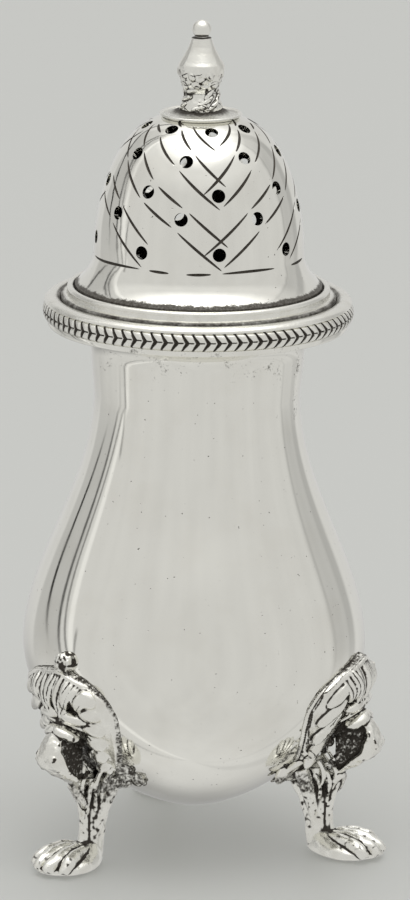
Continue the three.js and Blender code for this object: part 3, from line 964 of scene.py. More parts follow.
class SHAKER_OT_finial_dish(bpy.types.Operator):
    """Spins the small dished plate under the finial"""

    bl_idname = "shaker.finial_dish"
    bl_label = "Finial dish"

    bore = 0.95 * MM
    seat_radius = 2.2 * MM
    seat_gap = 0.01 * MM
    step_radius = 2.6 * MM
    bowl_radius = 3.5 * MM
    edge = 0.16 * MM
    rim_drop = 0.33 * MM

    def execute(self, context):
        radius, low, top = extent_of("finial_plate")
        rim = top - self.rim_drop
        seat = top_of("lid_dome")
        outline = [(self.bore, seat + self.seat_gap), (self.seat_radius, seat + self.seat_gap)]
        outline += [(radius - 1.0 * MM, seat - 0.12 * MM), (radius - 0.3 * MM, low + 0.02 * MM)]
        outline += rounded(radius - self.edge, rim - self.edge, self.edge, -80, 120, 9)
        outline += [(radius - 0.5 * MM, rim - 0.18 * MM), (self.bowl_radius, rim - 0.02 * MM)]
        outline += [(self.step_radius + 0.3 * MM, top - 0.06 * MM), (self.step_radius, top), (self.bore, top)]
        dish = turned("finial_dish", outline, 96)
        reach, _, _ = seen_from_axis(dish)
        bowl = ramp(reach, radius - 0.25 * MM, radius - 0.55 * MM)
        neck = ramp(reach, 3.6 * MM, 2.7 * MM)
        # Oxide and painted shade inside the dish, darkest under the finial's neck.
        mark(dish, "oxide_and_shade", bowl * (0.4 + 0.42 * neck))
        smooth(dish, 40)
        finished(dish, "lid", "cast_silver", "finial_plate", cast_silver("dish silver"))
        return {"FINISHED"}


class SHAKER_OT_finial(bpy.types.Operator):
    """Spins the finial and chases leaves round its neck"""

    bl_idname = "shaker.finial"
    bl_label = "Finial"

    tenon_radius = 0.85 * MM
    ball_radius = 1.13 * MM
    # Shares of the shoulder's radius and of the height up to the ball's middle
    profile_shares = (
        (0.9, 0), (0.9, 0.04), (0.84, 0.1), (0.74, 0.17), (0.7, 0.22), (0.76, 0.265), (0.84, 0.32),
        (0.93, 0.4), (0.99, 0.46), (1, 0.55), (0.98, 0.572), (0.88, 0.615), (0.77, 0.67), (0.65, 0.73),
        (0.55, 0.79), (0.48, 0.85), (0.43, 0.895), (0.27, 0.9),
    )
    # The leaves of each tier: share of the height, half sizes in mm and tilt in degrees
    leaf_tiers = (
        (0.06, (0.3, 1.0, 0.3), 24), (0.15, (0.34, 1.05, 0.3), 28), (0.235, (0.36, 0.95, 0.32), 30),
        (0.34, (0.32, 0.6, 0.5), -40), (0.46, (0.3, 0.42, 0.6), 25),
    )
    leaves_per_tier = 6
    leaf_sink = 0.12 * MM

    def execute(self, context):
        foot = top_of("finial_plate")
        shoulder, low, top = extent_of("finial")
        ball_height = top - self.ball_radius
        rise = ball_height - foot
        outline = [(0, low), (self.tenon_radius, low), (self.tenon_radius, foot)]
        for (r0, h0), (r1, h1) in zip(self.profile_shares, self.profile_shares[1:]):
            for share in spaced(0, 1, 7)[:-1]:
                outline.append((
                    (r0 + (r1 - r0) * share) * shoulder, foot + (h0 + (h1 - h0) * share) * rise))
        outline += rounded(0, ball_height, self.ball_radius, -50, 90, 18)
        outline[-1] = (0, top)
        finial = turned("finial_knop", outline, 96, closed=False)
        finial = joined("finial_knop", [finial] + self.leaves(foot, rise, shoulder))
        apply_modifier(finial, "REMESH", mode="VOXEL", voxel_size=0.07 * MM)
        apply_modifier(finial, "SMOOTH", factor=0.5, iterations=2)
        self.chase(finial, foot, rise)
        smooth(finial, 60)
        finished(finial, "lid", "cast_silver", "finial", cast_silver("finial silver"))
        return {"FINISHED"}

    def leaves(self, foot, rise, shoulder):
        """Slanting leaves that wind round the neck and up the lower half of the barrel."""
        radii, levels = zip(*self.profile_shares)
        pieces = []
        for tier, (level, size, tilt) in enumerate(self.leaf_tiers):
            reach = np.interp(level, levels, radii) * shoulder - self.leaf_sink
            for i in range(self.leaves_per_tier):
                turn = 360 / self.leaves_per_tier * (i + 0.41 * tier) + 14 * math.sin(5 * i + tier)
                angle = math.radians(turn)
                height = foot + (level + 0.02 * math.sin(4 * i + tier)) * rise
                middle = AXIS + Vector((reach * math.cos(angle), reach * math.sin(angle), height))
                pieces.append(lump(middle / MM, size, tilt + 18 * math.sin(3 * i + tier), turn))
        return pieces

    def chase(self, finial, foot, rise):
        """Gouges the lower half, blackens its gouges and recesses with oxide and painted shade, and paints
        shade in the groove under the ball.
        """
        oxide_and_shade, normals = casting_depth(finial, {3: 0.012, 10: 0.036, 30: 0.12})
        places = vertices_of(finial)
        level = (places[:, 2] - foot) / rise
        chased = ramp(level, 0.54, 0.47)
        rough = ripple(places, 1900)
        twist = ripple(places * (1, 1, 1.4), 1150)
        gouge = ramp(np.abs(twist), 0.13, 0.04) * np.clip(rough * 4 + 0.3, 0, 1) * chased
        # A painted line of shade in the groove under the ball.
        line = bell(level, 0.9, 0.009)
        places += normals * ((rough * chased * 0.06 - gouge * 0.13) * MM)[:, None]
        move_vertices(finial, places)
        dark = np.maximum(oxide_and_shade * chased * 0.85, gouge * 1.1)
        mark(finial, "oxide_and_shade", np.clip(dark + chased * np.clip(rough, 0, 1) * 0.35 + line * 1.1, 0, 1))


# The feet


def casting_depth(piece, depths):
    """How deep each vertex lies under its smoothed neighbourhood, from 0 to 1, and the normals.

    The depths give, for a number of smoothing steps, the depth in mm that counts as a full recess.
    """
    mesh = piece.data
    places = vertices_of(piece)
    count = len(places)
    ends = np.empty(len(mesh.edges) * 2, np.int64)
    mesh.edges.foreach_get("vertices", ends)
    ends = ends.reshape(-1, 2)
    links = np.bincount(ends.ravel(), minlength=count)[:, None]
    normals = np.empty(count * 3)
    mesh.vertices.foreach_get("normal", normals)
    normals = normals.reshape(-1, 3)
    soft = places.copy()
    oxide_and_shade = np.zeros(count)
    for step in range(1, max(depths) + 1):
        total = np.empty_like(soft)
        for axis in range(3):
            near = np.bincount(ends[:, 0], soft[ends[:, 1], axis], count)
            total[:, axis] = near + np.bincount(ends[:, 1], soft[ends[:, 0], axis], count)
        soft = total / links
        if step in depths:
            sunk = ((soft - places) * normals).sum(axis=1)
            oxide_and_shade = np.maximum(oxide_and_shade, sunk / (depths[step] * MM))
    return np.clip(oxide_and_shade, 0, 1), normals


def on_belly(angle, height, out):
    """A place on or over the belly, in a foot's own frame: degrees from its middle, and mm."""
    reach = pot_radius(height * MM) / MM + out
    turn = math.radians(angle)
    return Vector((reach * math.cos(turn), reach * math.sin(turn), height))


def rod(places, shares, radius):
    """A round rod along places in mm, with a share of its radius in mm at each."""
    start_clean()
    bpy.ops.curve.primitive_nurbs_path_add()
    path = bpy.context.object
    spline = path.data.splines[0]
    spline.points.add(max(len(places) - len(spline.points), 0))
    for point, place, share in zip(spline.points, places, shares):
        point.co = (*(Vector(place) * MM), 1)
        point.radius = share
    path.data.resolution_u = 5
    path.data.bevel_depth = radius * MM
    path.data.bevel_resolution = 2 + round(radius / 0.3)
    path.data.use_fill_caps = True
    bpy.ops.object.convert(target="MESH")
    return bpy.context.object


def shaped(kind, shape):
    """A primitive whose corners, each between -1 and 1, are moved to places in mm that a function gives."""
    start_clean()
    if kind == "ball":
        bpy.ops.mesh.primitive_uv_sphere_add(segments=40, ring_count=24, radius=1)
    else:
        bpy.ops.mesh.primitive_cube_add(size=2)
        bpy.ops.object.mode_set(mode="EDIT")
        bpy.ops.mesh.select_all(action="SELECT")
        bpy.ops.mesh.subdivide(number_cuts=9)
        bpy.ops.object.mode_set(mode="OBJECT")
    piece = bpy.context.object
    for vertex in piece.data.vertices:
        vertex.co = shape(*vertex.co) * MM
    return piece


def lump(place, size, tilt=0.0, turn=0.0):
    """An oval lump with its place and half sizes in mm, tilted sideways and turned about the upright."""
    pose = Matrix.Rotation(math.radians(turn), 3, "Z") @ Matrix.Rotation(math.radians(tilt), 3, "X")
    return shaped("ball", lambda x, y, z: place + pose @ Vector((x * size[0], y * size[1], z * size[2])))


def to_side(side, places):
    """Places of (reach, across, height), put on one side of the foot or drawn together."""
    return [(reach, side * across, height) for reach, across, height in places]


class SHAKER_OT_feet(bpy.types.Operator):
    """Models one cast foot, a lion's mask over a paw, and sets three copies of it round the belly"""

    bl_idname = "shaker.feet"
    bl_label = "Feet"

    # Each node's piece, and the azimuth at which it stands
    copies = {
        "foot_left": ("front_left_foot", -60),
        "foot_right": ("front_right_foot", 60),
        "foot_back": ("rear_foot", 180),
    }
    # Heights up the shield in mm, and its half widths there in degrees of the belly
    levels = (9.6, 11.0, 13.5, 15.5, 18.0, 20.2, 22.4, 24.0, 25.15)
    wide_side = (5.0, 9.0, 17.5, 22.5, 26.3, 27.4, 23.8, 15.0, 0.0)
    narrow_side = (5.0, 8.0, 14.0, 17.0, 19.0, 19.5, 16.4, 10.2, 0.0)
    # How far the shield stands out at its edge, and how much more in its middle
    shield_out = 0.5
    shield_swell = 0.62
    # The shield's double rim: inset in degrees, how far it stands out, and its radius
    rims = ((-0.7, -0.05, 0.32), (0.7, 0.42, 0.34))
    # The skull: half its width in degrees, its middle, half its height, and how far it stands out
    skull_half_angle = 10
    skull_height = 17.3
    skull_half_height = 6.8
    skull_out = 1.15
    skull_brow = 0.25
    # Lumps of one half of the face: (angle, height, out), half sizes, tilt and turn
    features = (
        ((5.2, 19.55, 1.55), (1.05, 2.1, 0.8), -6, 8),
        ((4.4, 18.45, 1.4), (0.7, 0.7, 0.45), 0, 6),
        ((2.6, 17.5, 2.75), (1.3, 1.85, 0.85), -18, 24),
    )
    eyelid = ((1.2, 18.6, 2.3), (3.2, 19.2, 2.5), (5.6, 19.05, 2.35), (7.8, 18.5, 2.0), (9.6, 17.7, 1.4))
    jowl = ((5.6, 14.6, 1.5), (0.5, 0.62, 0.62), 25, 7)
    # The muzzle: heights, the reach of its front and of its cheeks, and its half width
    muzzle_levels = (10.6, 11.6, 12.8, 13.6, 14.4, 16.0, 17.2, 17.8)
    fronts = (19.4, 20.9, 22.8, 23.7, 23.9, 23.4, 22.7, 22.2)
    cheeks = (18.7, 19.5, 21.0, 21.7, 22.2, 22.5, 21.9, 21.5)
    muzzle_halves = (1.2, 1.75, 2.15, 2.2, 2.1, 1.6, 1.15, 0.8)
    muzzle_root = 18.2
    # Hair over the brow: start and end as (angle, height), width, and how far it stands out
    brow_locks = (
        ((11.4, 23.2), (7.6, 20.8), 2.2, 1.75), ((6.4, 24.1), (3.4, 20.8), 1.5, 2.1),
        ((2.3, 24.6), (0.1, 20.0), 1.3, 2.05), ((-1.8, 24.7), (-3.4, 20.5), 1.15, 2.25),
        ((-5.6, 24.5), (-5.6, 19.7), 1.3, 2.0), ((-9.6, 24.2), (-8.4, 20.9), 1.4, 2.05),
        ((-13.2, 23.7), (-10.6, 20.5), 1.6, 1.7),
    )
    # Locks down the narrow side: inner and outer angle, height and tilt in degrees
    narrow_mane = (
        (9.3, 14.4, 22.3, -28), (9.0, 15.2, 20.5, -10), (8.6, 15.4, 18.5, -16),
        (7.6, 13.8, 16.5, -24), (6.4, 11.8, 14.6, -34), (5.0, 9.2, 12.9, -42),
    )
    # Locks down the wide side: inner and outer angle, height and drop
    wide_mane = (
        (-13.4, -21.2, 22.6, 1.7), (-12.6, -23.2, 20.9, 2.4), (-11.6, -22.2, 18.9, 3.0),
        (-10.2, -19.2, 16.8, 3.0), (-8.2, -14.4, 14.7, 2.8), (-6.0, -9.8, 12.6, 2.2),
    )
    # The belly's mm for each degree, as a round number for the locks' slopes
    mm_per_degree = 0.37
    # The shank's rods: places (reach, side, height), shares of the radius, and radius
    shank = (
        (((15.8, 0, 11.0), (16.0, 0, 8.6), (16.0, 0, 6.4), (16.1, 0, 4.4), (16.4, 0, 2.0)),
         (1, 0.9, 0.68, 0.6, 0.85), 1.5),
        (((13.0, 0, 9.3), (14.1, 0, 7.4), (14.9, 0, 5.6), (15.1, 0, 3.8), (15.9, 0, 1.7)),
         (1.1, 0.95, 0.85, 1.05, 1.7), 0.78),
        (((18.1, 0, 10.4), (17.9, 0, 8.6), (17.3, 0, 6.6), (17.0, 0, 5.0), (17.3, 0, 3.0)),
         (1, 0.85, 0.65, 0.65, 1), 0.8),
    )
    calf = ((14.4, 2.5, 11.2), (14.9, 1.9, 9.4), (15.3, 1.2, 7.6), (15.6, 0.7, 5.8), (15.8, 0.4, 4.4))
    # Tufts on the leg: how far aside, reach and lowest height, and which one the wide side starts with
    tufts = (
        (2.7, 15.9, 9.3), (2.5, 16.6, 8.4), (2.1, 17.3, 9.0), (1.6, 17.9, 8.0), (1.0, 18.5, 8.9),
        (0.9, 17.6, 7.0), (1.3, 16.7, 6.9),
    )
    first_wide_tuft = 2
    # The paw's pad: its middle and half length, and its half widths and heights with the reach of each
    pad_middle = 19.45
    pad_half_length = 4.75
    pad_width_reaches = (14.7, 16.5, 19.0, 21.5, 24.2)
    pad_halves = (2.1, 2.7, 3.3, 3.4, 2.4)
    pad_height_reaches = (14.7, 16.5, 18.5, 21.0, 24.2)
    pad_heights = (3.9, 4.0, 2.9, 2.1, 1.0)
    sole = 0.8
    # The toes: share of the spread, the tip's reach and the radius
    toes = ((-1, 23.1, 0.8), (-0.36, 24.15, 0.86), (0.36, 24.15, 0.86), (1, 23.1, 0.8))
    # Rough solder along the belly: (angle, height, out), half sizes and tilt
    solder = (
        ((13, 12.4, 0.0), (0.8, 1.7, 1.5), -35), ((16.5, 11.4, -0.1), (0.6, 1.7, 1.0), -35),
        ((19.0, 10.9, -0.1), (0.5, 1.1, 0.6), -35), ((-9, 10.6, 0.2), (1.2, 1.6, 1.3), 0),
        ((-14, 10.9, 0.0), (0.8, 1.6, 0.8), 0), ((7, 10.4, 0.2), (1.2, 1.5, 1.2), 0),
        ((0, 10.2, 0.6), (1.7, 2.2, 1.4), 0),
    )
    # Heights between which each kind of dirt, wear and painted shade lies, and its soft edge
    zones = {
        "jaw_shadow": (11.0, 17.0, 0.5), "crest": (25.0, 27.0, 0.3), "web": (7.5, 11.2, 0.8),
        "ruff": (7.4, 11.2, 0.9), "band": (9.8, 23.6, 0.8), "heel": (1.2, 6.5, 0.8),
        "toes": (0.8, 4.2, 0.8), "muzzle": (10.8, 17.6, 0.5),
    }
    voxel = 0.128 * MM
    clearance = 0.02 * MM

    def execute(self, context):
        pieces = self.plate() + self.face() + self.muzzle() + self.fringe() + self.mane()
        pieces += self.leg() + self.paw() + self.tabs()
        foot = joined("foot", pieces)
        apply_modifier(foot, "REMESH", mode="VOXEL", voxel_size=self.voxel)
        apply_modifier(foot, "SMOOTH", factor=0.5, iterations=1)
        self.fit(foot)
        self.weather(foot)
        smooth(foot, 80)
        material = cast_silver("foot silver")
        for node, (name, turn) in self.copies.items():
            copy = foot.copy()
            copy.data = foot.data.copy()
            context.scene.collection.objects.link(copy)
            if node == "foot_left":
                copy = joined(name, [copy, self.knob()])
            copy.name = name
            copy.data.name = name
            copy.data.transform(Matrix.Translation(AXIS) @ Matrix.Rotation(math.radians(turn - 90), 4, "Z"))
            finished(copy, "pot", "cast_silver", node, material)
        bpy.data.objects.remove(foot)
        return {"FINISHED"}

    def edge_angle(self, height, side):
        """How far the shield's edge lies from its middle, in degrees."""
        return np.interp(height, self.levels, self.wide_side if side < 0 else self.narrow_side)

    def plate(self):
        """The shield behind the mask, with its double rim."""
        low, top = self.levels[0], self.levels[-1]

        def shield(x, y, z):
            height = low + (top - low) * (z + 1) / 2
            round_share = max(math.sqrt(max(1 - z * z, 0)), 1e-6)
            across = max(min(y / round_share, 1), -1)
            swell = self.shield_out + self.shield_swell * math.sqrt(1 - across ** 4)
            out = swell if x > 0 else -self.shield_out
            return on_belly(across * self.edge_angle(height, across), height, out)

        pieces = [shaped("ball", shield)]
        for side in (-1, 1):
            for inset, out, radius in self.rims:
                heights = spaced(top - 0.12 * inset, low + 0.4, 26)
                angles = [side * max(self.edge_angle(height, side) - inset, 0.3) for height in heights]
                edge = [on_belly(angle, height, out) for angle, height in zip(angles, heights)]
                pieces.append(rod(edge, [1] * len(edge), radius))
        return pieces

    def lock(self, start, end, width, strands, radius, arch):
        """A lock of hair: strands side by side that draw together at its tip, over (angle, height, out)."""
        pieces = []
        start, end = Vector(start), Vector(end)
        reach = pot_radius((start.y + end.y) / 2 * MM) / MM + 1
        degree = math.radians(reach)
        along = Vector(((end.x - start.x) * degree, end.y - start.y)).normalized()
        for i in range(strands):
            aside = (i - (strands - 1) / 2) / max(strands - 1, 1) * width
            places = []
            for share in spaced(0, 1, 5):
                drift = aside * (1 - 0.7 * share ** 2) + 0.09 * math.sin(9 * i + 3 * start.x + 2.5 * share)
                angle, height, out = start.lerp(end, share)
                out += arch * math.sin(math.pi * share) - abs(aside) * 0.18
                places.append(on_belly(angle - along.y * drift / degree, height + along.x * drift, out))
            uneven = 1 + 0.25 * math.sin(5 * i + start.x)
            pieces.append(rod(places, (0.7, 1, 1, 0.92, 0.55), radius * uneven))
        return pieces

    def face(self):
        """The skull under the hair, the nose, the brows, the eyes and the cheeks."""

        def skull(x, y, z):
            swell = (self.skull_out + self.skull_brow * max(z, 0)) * math.sqrt(max(1 - y * y, 0))
            out = swell if x > 0 else -self.shield_out
            height = self.skull_height + z * self.skull_half_height
            return on_belly(y * self.skull_half_angle, height, out)

        pieces = [shaped("ball", skull), lump(on_belly(0, 18.2, 1.5), (1.25, 1.5, 2.6))]
        for side in (-1, 1):
            for (angle, height, out), size, tilt, turn in (*self.features, self.jowl):
                pieces.append(lump(on_belly(side * angle, height, out), size, side * tilt, side * turn))
            lid = [on_belly(side * angle, height, out) for angle, height, out in self.eyelid]
            pieces.append(rod(lid, (0.5, 1, 1, 1, 0.5), 0.3))
        return pieces

    def muzzle(self):
        """The flat-sided wedge of the nose and the jaws, and the tongue under it."""
        low, top = self.muzzle_levels[0], self.muzzle_levels[-1]

        def wedge(x, y, z):
            height = low + (top - low) * (z + 1) / 2
            front = np.interp(height, self.muzzle_levels, self.fronts)
            cheek = np.interp(height, self.muzzle_levels, self.cheeks)
            cheek += 0.2 * math.sin(height * 9) + 0.12 * math.sin(height * 23)
            half = np.interp(height, self.muzzle_levels, self.muzzle_halves)
            if x < -0.3:
                share = (x + 1) / 0.7
                reach = self.muzzle_root + (cheek - 0.15 - self.muzzle_root) * share
                return Vector((reach, y * half * 0.4, height))
            share = (x + 0.3) / 1.3
            bow = 0.28 * (1 - y * y) * share - 0.28
            return Vector((cheek + (front - cheek) * share + bow, y * half * (1 - 0.2 * share ** 2), height))

        turns = spaced(0, 2 * math.pi, 13)
        tongue = [
            (18.25 + 0.75 * math.cos(turn), 0.93 * math.sin(turn), 9.05 + 1.25 * math.cos(turn + 0.5))
            for turn in turns]
        return [
            shaped("block", wedge),
            rod(tongue, [1] * len(tongue), 0.5),
            lump(Vector((18.0, 0, 9.1)), (0.7, 0.75, 1.1)),
        ]

    def fringe(self):
        """The hair over the brow: each clump has a thick core under its fine strands."""
        pieces = []
        for start, end, width, out in self.brow_locks:
            strands = 2 + round(width / 1.2)
            pieces += self.lock((*start, 0.2), (*end, out - 0.6), 0.1, 1, width * 0.42, 1.15)
            pieces += self.lock((*start, 0.85), (*end, out), width * 0.9, strands, 0.24, 1.0)
        for side in (-1, 1):
            pieces += self.lock((side * 3.4 - 1, 20.6, 1.9), (side * 1.8 - 1, 18.6, 2.1), 0.7, 2, 0.28, 0.25)
        return pieces

    def mane(self):
        """Leaf-shaped locks down both sides of the face, each lying over the next one."""
        pieces = []
        for inner, outer, height, tilt in self.narrow_mane:
            drop = (outer - inner) * self.mm_per_degree * math.tan(math.radians(-tilt))
            pieces.append(self.lobe((inner, height), (outer, height), (0.72, 1.08), tilt))
            start = (inner + 0.5, height + drop * 0.4, 1.55)
            end = (outer + 0.5, height - drop * 0.6, 0.85)
            pieces += self.lock(start, end, 1.3, 3, 0.2, 0.3)
        for inner, outer, height, drop in self.wide_mane:
            tilt = math.degrees(math.atan2(drop, (inner - outer) * self.mm_per_degree))
            pieces.append(self.lobe((inner, height), (outer, height - drop), (0.55, 0.95), tilt))
            end = (outer - 0.6, height - drop - 0.2, 0.95)
            pieces += self.lock((inner, height, 1.3), end, 1.15, 3, 0.22, 0.3)
        return pieces

    def lobe(self, start, end, size, tilt):
        """A plump lock of hair between two places of (angle, height), tilted sideways in degrees."""
        angle = (start[0] + end[0]) / 2
        height = (start[1] + end[1]) / 2
        across = math.radians(end[0] - start[0]) * (pot_radius(height * MM) / MM + 1.2)
        length = math.hypot(across, end[1] - start[1]) / 2 + 0.4
        sunk = math.copysign(13, angle)
        return lump(on_belly(angle, height, 1.1), (size[0], length, size[1]), tilt, angle + sunk)

    def leg(self):
        """The narrow shank, with the hair that runs down on to it."""
        pieces = [rod(*parts) for parts in self.shank]
        for side in (-1, 1):
            pieces.append(rod(to_side(side, self.calf), (1, 1, 0.9, 0.8, 0.7), 0.95))
            for i, (aside, reach, low) in enumerate(self.tufts):
                if side < 0 and i < self.first_wide_tuft:
                    continue
                high = low + 2.6
                tuft = (
                    (reach - 0.9, aside, high + 0.6), (reach, aside + 0.1, high),
                    (reach + 0.15, aside, (high + low) / 2), (reach - 0.25, aside * 0.85, low + 0.4),
                    (reach - 0.7 + 0.3 * (i % 2), aside * 0.7, low - 0.3))
                pieces.append(rod(to_side(side, tuft), (0.7, 1, 1, 0.8, 0.3), 0.33))
        return pieces

    def paw(self):
        """The broad pad, four toes with their knuckles, and the claws."""

        def pad(x, y, z):
            reach = self.pad_middle + self.pad_half_length * x
            half = np.interp(reach, self.pad_width_reaches, self.pad_halves)
            high = np.interp(reach, self.pad_height_reaches, self.pad_heights)
            height = self.sole + z * (high - self.sole if z > 0 else 1)
            belly = 1 + 0.18 * (1 - abs(z)) * abs(z)
            return Vector((reach, y * half * belly, height))

        pieces = [shaped("ball", pad)]
        for spread, tip, radius in self.toes:
            toe = (
                (17.8, 1.1, 2.6), (19.2, 1.7, 2.95), (21.0, 2.3, 2.15),
                (tip - 1.2, 2.65, 2.15), (tip - 0.35, 2.5, 0.85))
            claw = (
                (tip - 0.7, 2.5, 1.5), (tip - 0.4, 2.47, 1.4), (tip - 0.2, 2.45, 1.2),
                (tip - 0.1, 2.42, 1.0), (tip - 0.1, 2.4, 0.8))
            pieces.append(rod(to_side(spread, toe), (0.5, 0.9, 0.95, 1.15, 0.8), radius))
            pieces.append(rod(to_side(spread, claw), (1, 1, 0.9, 0.8, 0.6), 0.34))
        return pieces

    def tabs(self):
        """The leaf that is soldered to the pot on one side, and the rough solder on both."""
        pieces = [lump(on_belly(-17, 11.3, 0.3), (0.6, 2.4, 1.15), 30, -20)]
        for aside in (-0.55, 0.55):
            leaf = [
                on_belly(-10.5 - 13 * share, 12.7 - 2.7 * share + aside * (1 - 0.75 * share ** 3), 0.75)
                for share in spaced(0, 1, 5)]
            pieces.append(rod(leaf, (0.9, 1.1, 1.15, 0.95, 0.3), 0.42))
        for place, size, tilt in self.solder:
            pieces.append(lump(on_belly(*place), size, tilt, place[0]))
        return pieces

    def knob(self):
        """The round knob that tops the left foot alone."""
        reach = radius_of("body_shell") + 0.35 * MM
        middle = Vector((reach, 0.4 * MM, top_of("foot_left") - 1.35 * MM))
        knob = lump(middle / MM, (1.2, 1.25, 1.3))
        apply_modifier(knob, "SUBSURF", levels=1)
        places = vertices_of(knob)
        rough = ripple(places, 1400) + 0.5 * ripple(places, 3300)
        places = np.array(middle) + (places - np.array(middle)) * (1 + 0.15 * rough)[:, None]
        move_vertices(knob, places)
        # Painted shade on the side of the knob that lies against the pot, and patchy oxide.
        under = ramp(places[:, 0], reach + 0.1 * MM, reach - 0.5 * MM)
        mark(knob, "oxide_and_shade", np.clip(0.12 - rough * 2.2 + under, 0, 0.9))
        smooth(knob, 80)
        return knob

    def fit(self, foot):
        """Keeps the foot outside the pot and on the table."""
        places = vertices_of(foot)
        reach = np.hypot(places[:, 0], places[:, 1])
        limit = self.belly_reach(places[:, 2] / MM) * MM + self.clearance
        places[:, :2] *= np.maximum(limit / np.maximum(reach, MM), 1)[:, None]
        places[:, 2] = np.maximum(places[:, 2], 0)
        move_vertices(foot, places)

    def belly_reach(self, heights):
        """The belly's radius at heights in mm, and 0 under its bottom."""
        levels = spaced(0, 30, 400)
        bottom = bpy.context.scene.shaker_sizes.bottom_height / MM
        radii = [pot_radius(level * MM) / MM if level > bottom else 0 for level in levels]
        return np.interp(heights, levels, radii)

    def zone(self, name, height):
        """1 at the heights of one kind of dirt or wear, and 0 elsewhere."""
        return between(height, *self.zones[name])

    def hollows(self, places, angle, reach, height):
        """How dark each place is painted in the hollows: a painted shadow beside the muzzle, and painted
        shade with some tarnish by the solder along the edge.
        """
        cheek = np.interp(height, self.muzzle_levels[:6], self.cheeks[:6])
        jaw_edge = np.where(angle > 0, 8.8, 10.5) - np.clip(16.5 - height, 0, 6) * 0.75
        ragged = ripple(places, 1500) * 0.9
        jaw_shadow = self.zone("jaw_shadow", height) * ramp(reach - ragged, cheek - 0.3, cheek - 0.6)
        jaw_shadow *= ramp(np.abs(angle), jaw_edge, jaw_edge - 1.2)
        edge = np.where(angle > 0, self.edge_angle(height, 1), self.edge_angle(height, -1))
        beyond = np.abs(angle) - edge
        narrow = ramp(beyond, 0.1, 0.6) * (height > 9.6)
        groove = between(beyond, -0.35, 0.45, 0.25) * 1.3
        wide = np.maximum(groove, ramp(beyond, 1.5, 1.9)) * ramp(height, 12.6, 13.1)
        belly = self.belly_reach(height)
        crest = self.zone("crest", height) * ramp(reach, belly + 0.3, belly)
        # Painted shade with some tarnish where the foot meets the belly.
        seam = np.maximum(np.where(angle > 0, narrow, wide), crest)
        web = self.zone("web", height) * ramp(angle, -5, -7) * ramp(reach, 17.5, 16.0)
        ruff = self.zone("ruff", height) * ramp(angle, -3, 0)
        return np.max((jaw_shadow * 0.85, seam * 0.6, web * 0.6, ruff * 0.42), axis=0)

    def weather(self, foot):
        """Finds the recesses of the casting, for black oxide and painted shade, adds the painted shade of the
        hollows, and roughens them.
        """
        oxide_and_shade, normals = casting_depth(foot, {3: 0.022, 10: 0.055, 40: 0.2})
        places = vertices_of(foot)
        x, y, height = places.T / MM
        reach = np.hypot(x, y)
        angle = np.degrees(np.arctan2(y, x))
        rim = self.edge_angle(height, 1)
        band = self.zone("band", height) * ramp(angle, rim - 7.3, rim - 5.3)
        heel = self.zone("heel", height) * ramp(reach, 16.9, 16.1)
        oxide_and_shade *= 1 - 0.85 * np.maximum(band, heel)
        rough = ripple(places, 2200)
        uneven = ripple(places, 800)
        fine = ripple(places, 4600)
        shank = ramp(height, 11, 9) * ramp(height, 2.5, 3.5)
        toes = self.zone("toes", height) * ramp(x, 17.5, 19.0)
        muzzle = self.zone("muzzle", height) * ramp(reach, 19, 20)
        pitted = np.clip(rough * 2.2 - 0.25, 0, 1) * np.maximum(shank, toes * 0.9)
        pits = np.clip(rough * 5 - 2.1, 0, 1) * muzzle
        oxide_and_shade = np.clip(oxide_and_shade + pitted * 0.7 + shank * 0.12 + pits, 0, 1)
        # The hollows' painted shade, with some dirt, joins the oxide's dark.
        grime_and_shade = self.hollows(places, angle, reach, height) * np.clip(0.9 + fine * 0.7 + rough * 0.45, 0, 1.2)
        oxide_and_shade = np.maximum(oxide_and_shade, grime_and_shade)
        swell = uneven * (0.045 + 0.09 * shank + 0.12 * toes + 0.16 * muzzle)
        swell += rough * (0.014 + 0.045 * oxide_and_shade + 0.05 * muzzle) - pitted * 0.06
        places += normals * (swell * MM)[:, None]
        places[:, 2] = np.maximum(places[:, 2], 0)
        move_vertices(foot, places)
        mark(foot, "oxide_and_shade", oxide_and_shade)


# The stage


